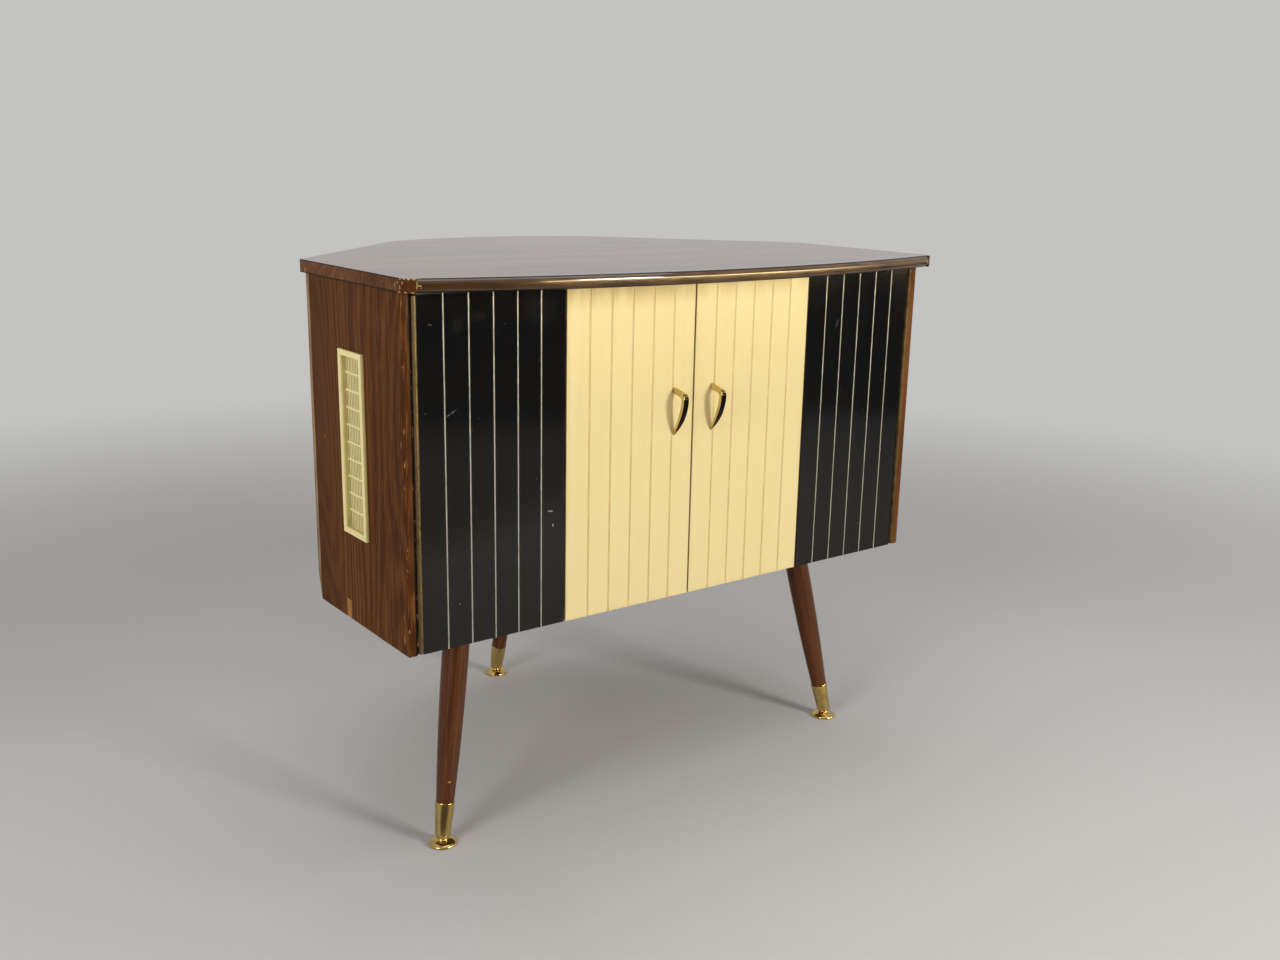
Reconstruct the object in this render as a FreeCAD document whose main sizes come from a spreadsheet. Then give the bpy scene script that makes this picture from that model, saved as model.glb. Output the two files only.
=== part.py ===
"""Three-legged corner cabinet with two folding doors, built as a parametric document in millimetres.

Plan frame: X runs along the front, Y runs back from the closed leaves' front faces and Z is up from the floor.
Every sub-part is then moved along Y by front_y, so the origin lies on the floor under the middle of the cabinet.
"""
import FreeCAD, Part
import os

import Sketcher

DRIVING_SIZES = {
    # Leaves of the folding doors.
    "leaf_width": 200,
    "leaf_top_gap": 3,
    "leaf_board": 15,
    "facing_thickness": 1,
    "centre_gap": 3,
    "hinge_gap": 3,
    "stripe_width": 2.4,
    "stripe_depth": 0.6,
    "stripe_pitch": 33,
    # Piano hinges.
    "barrel_radius": 3,
    "pin_radius": 1.5,
    "pin_clearance": 0.05,
    "plate_thickness": 1,
    "plate_width": 13,
    "plate_clearance": 0.3,
    "knuckle_gap": 0.4,
    "outer_hinge_inset": 2,
    "fold_hinge_inset": 4,
    "hinge_screw_radius": 1.2,
    "hinge_screw_head": 2.2,
    "hinge_screw_length": 10,
    # Carcass.
    "carcass_height": 432,
    "panel_thickness": 12.4,
    "bottom_thickness": 16,
    "side_depth": 260,
    "wall_thickness": 6,
    "back_half_width": 180,
    "back_bulge": 46,
    "rail_height": 40,
    "rail_depth": 18,
    "stop_gap": 0.5,
    "post_size": 24,
    # Top.
    "top_thickness": 16,
    "top_overhang": 6,
    "front_end_overhang": 24,
    "front_bow": 60,
    "corner_radius": 18,
    "lipping_depth": 22,
    "lipping_round": 6,
    # Vent grilles.
    "grille_width": 64,
    "grille_height": 231,
    "grille_border": 7,
    "grille_proud": 4,
    "grille_wall": 2,
    "grille_fit": 0.5,
    "grille_from_front": 100,
    "grille_rise": 117.5,
    "lattice_depth": 6.5,
    "lattice_thickness": 2.5,
    "fin_width": 1.8,
    "bar_width": 2.5,
    # Legs.
    "leg_height": 300,
    "leg_splay": 12.9,
    "front_leg_turn": 39,
    "front_foot_x": 350,
    "front_foot_y": 65,
    "back_foot_y": 517,
    "leg_top_radius": 16.7,
    "leg_tip_radius": 8.2,
    "leg_swell": 3.8,
    "ferrule_length": 46,
    "ferrule_wall": 0.9,
    "ferrule_fit": 0.2,
    "glide_radius": 18.5,
    "glide_height": 11,
    "glide_rim": 3,
    "glide_edge": 2,
    "glide_neck": 7.5,
    "neck_length": 2,
    "dome_radius": 14,
    "leg_plate_size": 70,
    "leg_plate_thickness": 3,
    "leg_plate_margin": 9,
    "leg_bolt_radius": 4,
    "leg_bolt_grip": 40,
    "leg_bolt_reach": 12,
    "plate_screw_radius": 2,
    "plate_screw_head": 4,
    "plate_screw_length": 14,
    # Handles.
    "handle_height": 64,
    "handle_reach": 26,
    "handle_width": 8.8,
    "handle_foot_width": 6,
    "handle_tip_width": 2.6,
    "handle_belly": 17,
    "handle_bar": 6.5,
    "handle_tip_bar": 5,
    "handle_drop": 5.5,
    "handle_shoulder": 5,
    "handle_bow": 5.5,
    "handle_from_centre": 32,
    "handle_rise": 289,
    "handle_screw_radius": 1.5,
    "handle_screw_head": 3,
    "handle_screw_head_height": 2,
    "handle_screw_grip": 7,
    "spigot_radius": 1.2,
    "spigot_length": 6,
    # Door catches.
    "catch_length": 40,
    "catch_height": 14,
    "catch_depth": 22,
    "catch_from_centre": 14,
    "catch_gap": 0.3,
    "strike_thickness": 1.2,
}

OUTER_KNUCKLES = 14
FOLD_KNUCKLES = 12
STRIPES_PER_LEAF = 5
SCREWS_PER_PLATE = 4
FINS = 10
BARS = 9
SIDES = {"left": -1, "right": 1}

# Proportions of the handle's bends.
SHOULDER_FALL = 1.5
ELBOW_REACH = 0.7
ELBOW_FALL = 0.75
HANDLE_SCREW_LEVEL = 0.65
BELLY_BEND = 4

# Sizes and places that follow from the driving ones.
DERIVED_SIZES = {
    "leaf_thickness": "Size.leaf_board + Size.facing_thickness",
    "leaf_height": "Size.carcass_height - Size.leaf_top_gap",
    "half_front": "2 * Size.leaf_width + Size.hinge_gap + Size.centre_gap / 2",
    "outer_gap": "2 * Plan.plate_start",
    "outer_axis_x": "Plan.half_front + Plan.outer_gap / 2",
    "fold_axis_x": "Size.leaf_width + Size.centre_gap / 2 + Size.hinge_gap / 2",
    "fold_axis_y": "Plan.leaf_thickness + Plan.plate_start",
    "side_inner": "Plan.half_front + Plan.outer_gap",
    "side_outer": "Plan.side_inner + Size.panel_thickness",
    "carcass_top": "Size.leg_height + Size.carcass_height",
    "inside_front": "Plan.leaf_thickness + Size.stop_gap",
    "wall_slant": "Size.wall_thickness * sqrt(2)",
    "side_rear_outer": "Size.side_depth - Plan.wall_slant",
    "side_rear_inner": "Plan.side_rear_outer + Size.panel_thickness",
    "back_corner_y": "Size.side_depth + Plan.side_outer - Size.back_half_width",
    "back_radius": "(Size.back_half_width ^ 2 + Size.back_bulge ^ 2) / (2 * Size.back_bulge)",
    "back_centre_y": "Plan.back_corner_y + Size.back_bulge - Plan.back_radius",
    "inner_back_radius": "Plan.back_radius - Size.wall_thickness",
    "inner_wall_sum": "Plan.side_rear_outer + Plan.side_outer",
    "inner_wall_reach": "Plan.inner_wall_sum - Plan.back_centre_y",
    "inner_corner_x": "(Plan.inner_wall_reach - sqrt(2 * Plan.inner_back_radius ^ 2"
                      " - Plan.inner_wall_reach ^ 2)) / 2",
    "inner_corner_y": "Plan.inner_wall_sum - Plan.inner_corner_x",
    "post_front_y": "Plan.side_rear_inner - Size.post_size",
    "post_wall_x": "Plan.side_inner - Size.post_size",
    "post_wall_y": "Plan.inner_wall_sum - Plan.post_wall_x",
    "back_post_wall_x": "Plan.inner_corner_x + Size.post_size",
    "back_post_wall_y": "Plan.inner_wall_sum - Plan.back_post_wall_x",
    "back_post_arc_x": "Plan.inner_corner_x - Size.post_size",
    "back_post_arc_y": "Plan.back_centre_y + sqrt(Plan.inner_back_radius ^ 2 - Plan.back_post_arc_x ^ 2)",
    "top_half": "Plan.side_outer + Size.top_overhang",
    "top_corner_y": "Size.side_depth + Size.top_overhang * (sqrt(2) - 1)",
    "top_back_half": "Size.back_half_width + Size.top_overhang * (sqrt(2) - 1)",
    "top_back_y": "Plan.top_corner_y + Plan.top_half - Plan.top_back_half",
    "top_apex_y": "Plan.back_corner_y + Size.back_bulge + Size.top_overhang",
    "top_bulge": "Plan.top_apex_y - Plan.top_back_y",
    "top_back_radius": "(Plan.top_back_half ^ 2 + Plan.top_bulge ^ 2) / (2 * Plan.top_bulge)",
    "front_apex_y": "-(Size.front_end_overhang + Size.front_bow)",
    "bow_radius": "(Plan.top_half ^ 2 + Size.front_bow ^ 2) / (2 * Size.front_bow)",
    "bow_centre_y": "Plan.front_apex_y + Plan.bow_radius",
    "round_x": "Plan.top_half - Size.corner_radius",
    "round_y": "Plan.bow_centre_y - sqrt((Plan.bow_radius - Size.corner_radius) ^ 2 - Plan.round_x ^ 2)",
    "round_stretch": "Plan.bow_radius / (Plan.bow_radius - Size.corner_radius)",
    "bow_end_x": "Plan.round_x * Plan.round_stretch",
    "bow_end_y": "Plan.bow_centre_y + (Plan.round_y - Plan.bow_centre_y) * Plan.round_stretch",
    "bow_sweep": "2 * asin(Plan.bow_end_x / Plan.bow_radius) / 1 deg",
    "lipping_outer": "-Plan.bow_radius",
    "lipping_round_y": "Size.lipping_round - Plan.bow_radius",
    "lipping_inner": "Size.lipping_depth - Plan.bow_radius",
    "lipping_shoulder": "Size.top_thickness - Size.lipping_round",
    "front_y": "-(Plan.front_apex_y + Plan.top_apex_y) / 2",
    "outer_knuckle": "(Plan.leaf_height - 2 * Size.outer_hinge_inset) / %d" % OUTER_KNUCKLES,
    "fold_knuckle": "(Size.carcass_height - Size.bottom_thickness - Size.rail_height"
                    " - 2 * Size.fold_hinge_inset) / %d" % FOLD_KNUCKLES,
    "outer_hinge_z": "Size.leg_height + Size.outer_hinge_inset",
    "fold_hinge_z": "Size.leg_height + Size.bottom_thickness + Size.fold_hinge_inset",
    "bore_radius": "Size.pin_radius + Size.pin_clearance",
    "plate_start": "Size.barrel_radius + Size.plate_clearance",
    "window_width": "Size.grille_width - 2 * Size.grille_border + 2 * Size.grille_wall + 2 * Size.grille_fit",
    "window_height": "Size.grille_height - 2 * Size.grille_border + 2 * Size.grille_wall + 2 * Size.grille_fit",
    "window_inset": "Size.grille_border - Size.grille_wall - Size.grille_fit",
    "insert_depth": "Size.lattice_depth + Size.lattice_thickness - Size.grille_proud",
    "leg_length": "Size.leg_height / cos(Size.leg_splay)",
    "leg_taper": "(Size.leg_top_radius - Size.leg_tip_radius) / Plan.leg_length",
    "leg_lean": "tan(Size.leg_splay) * (Size.leg_height - Size.glide_height)",
    "leg_spare": "Size.leg_top_radius",
    "leg_far": "Plan.leg_length + Plan.leg_spare",
    "leg_low": "Size.leg_tip_radius - Plan.leg_taper * Plan.leg_spare",
    "leg_high": "Size.leg_top_radius + Plan.leg_taper * Plan.leg_spare",
    "leg_rise": "Plan.leg_far + Plan.leg_spare",
    "leg_chord": "sqrt(Plan.leg_rise ^ 2 + (Plan.leg_high - Plan.leg_low) ^ 2)",
    "swell_radius": "((Plan.leg_chord / 2) ^ 2 + Size.leg_swell ^ 2) / (2 * Size.leg_swell)",
    "swell_set": "(Plan.swell_radius - Size.leg_swell) / Plan.leg_chord",
    "swell_centre_r": "(Plan.leg_low + Plan.leg_high) / 2 - Plan.leg_rise * Plan.swell_set",
    "swell_centre_z": "(Plan.leg_far - Plan.leg_spare) / 2 + (Plan.leg_high - Plan.leg_low) * Plan.swell_set",
    "ferrule_seat": "Plan.swell_centre_r + sqrt(Plan.swell_radius ^ 2"
                    " - (Size.ferrule_length - Plan.swell_centre_z) ^ 2)",
    "bore_low": "Plan.leg_low + Size.ferrule_fit",
    "bore_high": "Plan.ferrule_seat + Size.ferrule_fit",
    "sleeve_low": "Plan.bore_low + Size.ferrule_wall",
    "sleeve_high": "Plan.bore_high + Size.ferrule_wall",
    "dome_top": "Size.glide_height - Size.neck_length",
    "rim_inner": "Size.glide_radius - Size.glide_edge",
    "handle_shoulder_y": "Size.handle_reach - Size.handle_shoulder",
    "handle_corner_z": "Size.handle_drop + Size.handle_shoulder * %s" % SHOULDER_FALL,
    "grip_inner_y": "Size.handle_reach - Size.handle_bar",
    "grip_elbow_y": "Plan.grip_inner_y - Size.handle_shoulder * %s" % ELBOW_REACH,
    "grip_elbow_z": "Size.handle_drop + Size.handle_bar * %s" % ELBOW_FALL,
    "grip_corner_z": "Plan.grip_elbow_z + Size.handle_shoulder",
    "handle_tip_z": "Size.handle_height - Size.handle_tip_bar",
    "shoulder_radius": "Size.handle_shoulder * %s" % SHOULDER_FALL,
    "grip_chord": "sqrt(Size.handle_reach ^ 2 + (Size.handle_height - Plan.handle_corner_z) ^ 2)",
    "grip_radius": "((Plan.grip_chord / 2) ^ 2 + Size.handle_bow ^ 2) / (2 * Size.handle_bow)",
    "elbow_radius": "Size.handle_shoulder",
    "handle_half": "Size.handle_width / 2",
    "handle_foot_half": "Size.handle_foot_width / 2",
    "handle_tip_half": "Size.handle_tip_width / 2",
    "belly_chord": "sqrt((Size.handle_height - Size.handle_belly) ^ 2"
                   " + (Plan.handle_half - Plan.handle_tip_half) ^ 2)",
    "belly_radius": "%s * Plan.belly_chord" % BELLY_BEND,
    "zero": "0",
}

document = FreeCAD.newDocument("CornerCabinet")
nodes = []


def fill_sheet(name, rows):
    """Make a sheet with one named cell for each size."""
    sheet = document.addObject("Spreadsheet::Sheet", name)
    for row, (alias, content) in enumerate(rows.items(), start=1):
        sheet.set("A%d" % row, alias)
        sheet.set("B%d" % row, content)
        sheet.setAlias("B%d" % row, alias)
    return sheet


driving_sheet = fill_sheet("Size", {alias: str(value) for alias, value in DRIVING_SIZES.items()})
derived_sheet = fill_sheet("Plan", {alias: "=" + formula for alias, formula in DERIVED_SIZES.items()})
document.recompute()


def cell(term):
    """Return the expression for a size's name, which may carry a minus sign."""
    sheet = "Size" if term.lstrip("-") in DRIVING_SIZES else "Plan"
    sign = "-" if term.startswith("-") else ""
    return "%s%s.%s" % (sign, sheet, term.lstrip("-"))


def number(term):
    """Return the present value of a size's name, which may carry a minus sign."""
    sheet = driving_sheet if term.lstrip("-") in DRIVING_SIZES else derived_sheet
    value = float(getattr(sheet, term.lstrip("-")))
    return -value if term.startswith("-") else value


def signed(side, term):
    """Return a size's name, negated on the left side."""
    return term if side > 0 else "-" + term


def bind(item, **expressions):
    """Bind an object's properties to expressions."""
    for name, expression in expressions.items():
        item.setExpression(name, expression)
    return item


def place(item, x="0", y="0", z="0"):
    """Bind an object's place, given in the plan frame."""
    item.setExpression("Placement.Base.x", x)
    item.setExpression("Placement.Base.y", "Plan.front_y + (%s)" % y)
    item.setExpression("Placement.Base.z", z)
    return item


def node(item, label):
    """Name a finished sub-part, so that it is written to its own file."""
    item.Label = label
    nodes.append(item)
    return item


def box(length, width, height, x, y, z):
    """Make a block from its low corner."""
    block = document.addObject("Part::Box", "Block")
    return place(bind(block, Length=length, Width=width, Height=height), x, y, z)


def cylinder(radius, height, x, y, z, turn=None):
    """Make a cylinder that stands on a point, or lies along the axis that turn leads to."""
    rod = document.addObject("Part::Cylinder", "Rod")
    if turn is not None:
        rod.Placement.Rotation = turn
    return place(bind(rod, Radius=radius, Height=height), x, y, z)


def cone(low_radius, high_radius, height, x, y, z, turn=None):
    """Make a cone that stands on a point, or lies along the axis that turn leads to."""
    taper = document.addObject("Part::Cone", "Taper")
    if turn is not None:
        taper.Placement.Rotation = turn
    return place(bind(taper, Radius1=low_radius, Radius2=high_radius, Height=height), x, y, z)


def fuse(pieces):
    """Join pieces into one solid."""
    joined = document.addObject("Part::MultiFuse", "Joined")
    joined.Shapes = pieces
    return joined


def group(pieces):
    """Keep pieces together as separate solids."""
    kept = document.addObject("Part::Compound", "Group")
    kept.Links = pieces
    return kept


def cut(base, *tools):
    """Cut tools out of a base."""
    for tool in tools:
        rest = document.addObject("Part::Cut", "Cut")
        rest.Base = base
        rest.Tool = tool
        base = rest
    return base


def common(base, tool):
    """Keep what two pieces share."""
    shared = document.addObject("Part::Common", "Shared")
    shared.Base = base
    shared.Tool = tool
    return shared


def new_sketch(body, role):
    """Attach a sketch to one of its body's own origin planes."""
    sketch = body.newObject("Sketcher::SketchObject", "Outline")
    plane = [feature for feature in body.Origin.OriginFeatures if feature.Role == role][0]
    sketch.AttachmentSupport = [(plane, "")]
    sketch.MapMode = "FlatFace"
    return sketch


def arc_between(start, end, radius, side):
    """Return the arc from start to end that bulges to the right of the way there, or to the left if side is -1."""
    chord = end - start
    half = chord.Length / 2
    rise = radius - (radius ** 2 - half ** 2) ** 0.5
    outward = FreeCAD.Vector(chord.y, -chord.x, 0).normalize() * side
    return Part.Arc(start, (start + end) * 0.5 + outward * rise, end)


def draw(sketch, corners):
    """Draw a closed outline, anticlockwise. A corner is (x, y), or (x, y, radius, side) where an arc leaves it."""
    points = [FreeCAD.Vector(number(corner[0]), number(corner[1]), 0) for corner in corners]
    ends = []
    for index, corner in enumerate(corners):
        start = points[index]
        end = points[(index + 1) % len(points)]
        if len(corner) == 2:
            sketch.addGeometry(Part.LineSegment(start, end))
            ends.append((1, 2))
        else:
            sketch.addGeometry(arc_between(start, end, number(corner[2]), corner[3]))
            ends.append((1, 2) if corner[3] > 0 else (2, 1))
    for index, corner in enumerate(corners):
        after = (index + 1) % len(corners)
        sketch.addConstraint(Sketcher.Constraint("Coincident", index, ends[index][1], after, ends[after][0]))
        for kind, term in (("DistanceX", corner[0]), ("DistanceY", corner[1])):
            place_of = sketch.addConstraint(
                Sketcher.Constraint(kind, -1, 1, index, ends[index][0], number(term)))
            sketch.setExpression("Constraints[%d]" % place_of, cell(term))
        if len(corner) > 2:
            bend = sketch.addConstraint(Sketcher.Constraint("Radius", index, number(corner[2])))
            sketch.setExpression("Constraints[%d]" % bend, cell(corner[2]))
    return sketch


def plate_body(corners, height, z):
    """Pad a plan outline to a height."""
    body = document.addObject("PartDesign::Body", "Body")
    sketch = draw(new_sketch(body, "XY_Plane"), corners)
    pad = body.newObject("PartDesign::Pad", "Pad")
    pad.Profile = sketch
    bind(pad, Length=height)
    return place(body, z=z)


def turned_shape(corners, sweep=None):
    """Turn an outline, drawn in the YZ plane, about the body's own upright axis."""
    body = document.addObject("PartDesign::Body", "Body")
    sketch = draw(new_sketch(body, "YZ_Plane"), corners)
    turned = body.newObject("PartDesign::Revolution", "Turned")
    turned.Profile = sketch
    turned.ReferenceAxis = (sketch, ["V_Axis"])
    if sweep is not None:
        turned.Midplane = True
        bind(turned, Angle=sweep)
    return body


def turned_body(corners, x, y, z, sweep=None):
    """Turn an outline and set the body at its place in the plan frame."""
    return place(turned_shape(corners, sweep), x, y, z)


def mirrored_outline(half):
    """Close a half outline, listed from front to back on the right side, with its mirror image.

    The last corner of the half starts the arc across the back, and the first is joined to its mirror image.
    """
    left = []
    for index in range(len(half) - 1, -1, -1):
        corner = ("-" + half[index][0], half[index][1])
        before = half[index - 1] if index > 0 else ()
        left.append(corner + tuple(before[2:]))
    return list(half) + left


def make_top():
    """Make the top board and the rounded lipping that is let into its bowed front edge."""
    half = [
        ("bow_end_x", "bow_end_y", "corner_radius", 1),
        ("top_half", "round_y"),
        ("top_half", "top_corner_y"),
        ("top_back_half", "top_back_y", "top_back_radius", 1),
    ]
    outline = mirrored_outline(half)
    outline[-1] = outline[-1][:2] + ("bow_radius", 1)
    blank = plate_body(outline, "Size.top_thickness", "Plan.carcass_top")
    sector = cylinder("Plan.bow_radius + Size.lipping_depth", "Size.top_thickness",
                      "0", "Plan.bow_centre_y", "Plan.carcass_top")
    sector.setExpression("Angle", "Plan.bow_sweep")
    sector.setExpression("Placement.Rotation.Angle", "-90 - Plan.bow_sweep / 2")
    core = cylinder("Plan.bow_radius - Size.lipping_depth", "Size.top_thickness",
                    "0", "Plan.bow_centre_y", "Plan.carcass_top")
    node(cut(blank, cut(sector, core)), "top_board")

    section = [
        ("lipping_round_y", "zero"),
        ("lipping_inner", "zero"),
        ("lipping_inner", "top_thickness"),
        ("lipping_round_y", "top_thickness", "lipping_round", 1),
        ("lipping_outer", "lipping_shoulder"),
        ("lipping_outer", "lipping_round", "lipping_round", 1),
    ]
    lipping = turned_body(section, "0", "Plan.bow_centre_y", "Plan.carcass_top", "Plan.bow_sweep")
    node(lipping, "top_front_lipping")


def make_hinge_screws(x, y, first_z, spacing, direction):
    """Make a row of countersunk screws that go into an upright face along X, to the left if direction is -1."""
    lie = FreeCAD.Rotation(FreeCAD.Vector(0, 1, 0), 90 * direction)
    screws = []
    for index in range(SCREWS_PER_PLATE):
        z = "%s + %d * (%s)" % (first_z, index, spacing)
        shank = cylinder("Size.hinge_screw_radius", "Size.hinge_screw_length", x, y, z, lie)
        head = cone("Size.hinge_screw_head", "Size.hinge_screw_radius", "Size.plate_thickness", x, y, z, lie)
        screws.append(fuse([shank, head]))
    return screws


def make_hinge_plate(axis_x, axis_y, gap, leave, plate_side, first, knuckle, count, bottom):
    """Make one plate of a piano hinge with every second knuckle, not yet drilled.

    gap is the gap that the barrel closes, leave the way along Y from the barrel to the plate, and plate_side the
    way along X.
    """
    inner = "%s / 2 - Size.plate_thickness" % gap
    x = "%s + (%s)" % (axis_x, inner if plate_side > 0 else "-%s / 2" % gap)
    start = "Plan.plate_start" if leave > 0 else "-Plan.plate_start - Size.plate_width"
    pieces = [box("Size.plate_thickness", "Size.plate_width", "%d * %s" % (count, knuckle),
                  x, "%s + (%s)" % (axis_y, start), bottom)]
    bridge = "0" if leave > 0 else "-Plan.plate_start"
    length = "%s - Size.knuckle_gap" % knuckle
    for index in range(first, count, 2):
        z = "%s + %d * %s + Size.knuckle_gap / 2" % (bottom, index, knuckle)
        pieces.append(cylinder("Size.barrel_radius", length, axis_x, axis_y, z))
        pieces.append(box("Size.plate_thickness", "Plan.plate_start", length,
                          x, "%s + (%s)" % (axis_y, bridge), z))
    bore = cylinder("Plan.bore_radius", "%d * %s" % (count, knuckle), axis_x, axis_y, bottom)
    return cut(fuse(pieces), bore)


def make_hinge(axis_x, axis_y, gap, leave, knuckle, count, bottom):
    """Make a piano hinge: its two drilled plates, their screws and the pin, low X first."""
    length = "%d * %s" % (count, knuckle)
    spacing = "%s / %d" % (length, SCREWS_PER_PLATE)
    first_z = "%s + %s / 2" % (bottom, spacing)
    screw_y = "%s + %d * (Plan.plate_start + Size.plate_width / 2)" % (axis_y, leave)
    plates = []
    screws = []
    for plate_side, first in ((-1, 0), (1, 1)):
        plate = make_hinge_plate(axis_x, axis_y, gap, leave, plate_side, first, knuckle, count, bottom)
        face = "%s + %d * (%s / 2 - Size.plate_thickness)" % (axis_x, plate_side, gap)
        row = make_hinge_screws(face, screw_y, first_z, spacing, plate_side)
        plates.append(cut(plate, group(row)))
        screws.append(row)
    pin = cylinder("Size.pin_radius", length, axis_x, axis_y, bottom)
    return plates, screws, pin


def make_grille(side):
    """Make a moulded vent grille and the window that it needs in its side panel."""
    face_x = "%d * Plan.side_outer" % side
    flange_x = face_x if side > 0 else "%s - Size.grille_proud" % face_x
    insert_x = "%s - Plan.insert_depth" % face_x if side > 0 else face_x
    lattice_x = "%s + %d * (Size.grille_proud - Size.lattice_depth)" % (face_x, side)
    if side > 0:
        lattice_x += " - Size.lattice_thickness"
    y = "Size.grille_from_front"
    z = "Size.leg_height + Size.grille_rise"

    def ring(x, depth, margin, wall):
        outer = box(depth, "Size.grille_width - 2 * (%s)" % margin, "Size.grille_height - 2 * (%s)" % margin,
                    x, "%s + %s" % (y, margin), "%s + %s" % (z, margin))
        inner = "%s + %s" % (margin, wall)
        hole = box(depth, "Size.grille_width - 2 * (%s)" % inner, "Size.grille_height - 2 * (%s)" % inner,
                   x, "%s + %s" % (y, inner), "%s + %s" % (z, inner))
        return cut(outer, hole)

    insert_margin = "(Size.grille_border - Size.grille_wall)"
    pieces = [ring(flange_x, "Size.grille_proud", "0", "Size.grille_border"),
              ring(insert_x, "Plan.insert_depth", insert_margin, "Size.grille_wall")]
    clear_width = "Size.grille_width - 2 * Size.grille_border"
    clear_height = "Size.grille_height - 2 * Size.grille_border"
    for index in range(1, FINS + 1):
        fin_y = "%s + Size.grille_border + %d / %d * (%s) - Size.fin_width / 2" % (y, index, FINS + 1, clear_width)
        pieces.append(box("Size.lattice_thickness", "Size.fin_width", clear_height,
                          lattice_x, fin_y, "%s + Size.grille_border" % z))
    for index in range(1, BARS + 1):
        bar_z = "%s + Size.grille_border + %d / %d * (%s) - Size.bar_width / 2" % (z, index, BARS + 1, clear_height)
        pieces.append(box("Size.lattice_thickness", clear_width, "Size.bar_width",
                          lattice_x, "%s + Size.grille_border" % y, bar_z))
    window_x = "Plan.side_inner" if side > 0 else "-Plan.side_outer"
    window = box("Size.panel_thickness", "Plan.window_width", "Plan.window_height", window_x,
                 "%s + Plan.window_inset" % y, "%s + Plan.window_inset" % z)
    return fuse(pieces), window


def make_stripes(left_x):
    """Make the strips that are let into a leaf's facing."""
    strips = []
    for index in range(STRIPES_PER_LEAF):
        offset = index - (STRIPES_PER_LEAF - 1) / 2
        x = "%s + Size.leaf_width / 2 + %s * Size.stripe_pitch - Size.stripe_width / 2" % (left_x, offset)
        strips.append(box("Size.stripe_width", "Size.stripe_depth", "Plan.leaf_height", x, "0", "Size.leg_height"))
    return group(strips)


def make_handle(side):
    """Make a bow handle with its spigot, and the screw that holds its upper foot."""
    x = "%d * Size.handle_from_centre" % side
    foot_z = "Size.leg_height + Size.handle_rise"
    profile = document.addObject("PartDesign::Body", "Body")
    corners = [
        ("zero", "zero"),
        ("-handle_shoulder_y", "-handle_drop", "shoulder_radius", 1),
        ("-handle_reach", "-handle_corner_z", "grip_radius", 1),
        ("zero", "-handle_height"),
        ("zero", "-handle_tip_z", "grip_radius", -1),
        ("-grip_inner_y", "-grip_corner_z", "elbow_radius", -1),
        ("-grip_elbow_y", "-grip_elbow_z"),
        ("zero", "-handle_bar"),
    ]
    sketch = draw(new_sketch(profile, "YZ_Plane"), corners)
    pad = profile.newObject("PartDesign::Pad", "Pad")
    pad.Profile = sketch
    pad.Midplane = True
    bind(pad, Length="Size.handle_width")
    place(profile, x, "0", foot_z)
    front = document.addObject("PartDesign::Body", "Body")
    sketch = draw(new_sketch(front, "XZ_Plane"), [
        ("-handle_foot_half", "zero"),
        ("-handle_half", "-handle_belly", "belly_radius", 1),
        ("-handle_tip_half", "-handle_height"),
        ("handle_tip_half", "-handle_height", "belly_radius", 1),
        ("handle_half", "-handle_belly"),
        ("handle_foot_half", "zero"),
    ])
    pad = front.newObject("PartDesign::Pad", "Pad")
    pad.Profile = sketch
    bind(pad, Length="Size.handle_reach")
    place(front, x, "0", foot_z)
    lie_back = FreeCAD.Rotation(FreeCAD.Vector(1, 0, 0), -90)
    spigot = cylinder("Size.spigot_radius", "Size.spigot_length", x, "0",
                      "%s - Size.handle_height + Size.handle_tip_bar / 2" % foot_z, lie_back)
    screw_z = "%s - Size.handle_bar * %s" % (foot_z, HANDLE_SCREW_LEVEL)
    shank = cylinder("Size.handle_screw_radius", "Plan.leaf_thickness + Size.handle_screw_grip", x,
                     "-Size.handle_screw_grip", screw_z, lie_back)
    head = cylinder("Size.handle_screw_head", "Size.handle_screw_head_height", x, "Plan.leaf_thickness",
                    screw_z, lie_back)
    screw = fuse([shank, head])
    handle = cut(fuse([common(profile, front), spigot]), screw)
    return handle, screw, spigot


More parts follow.
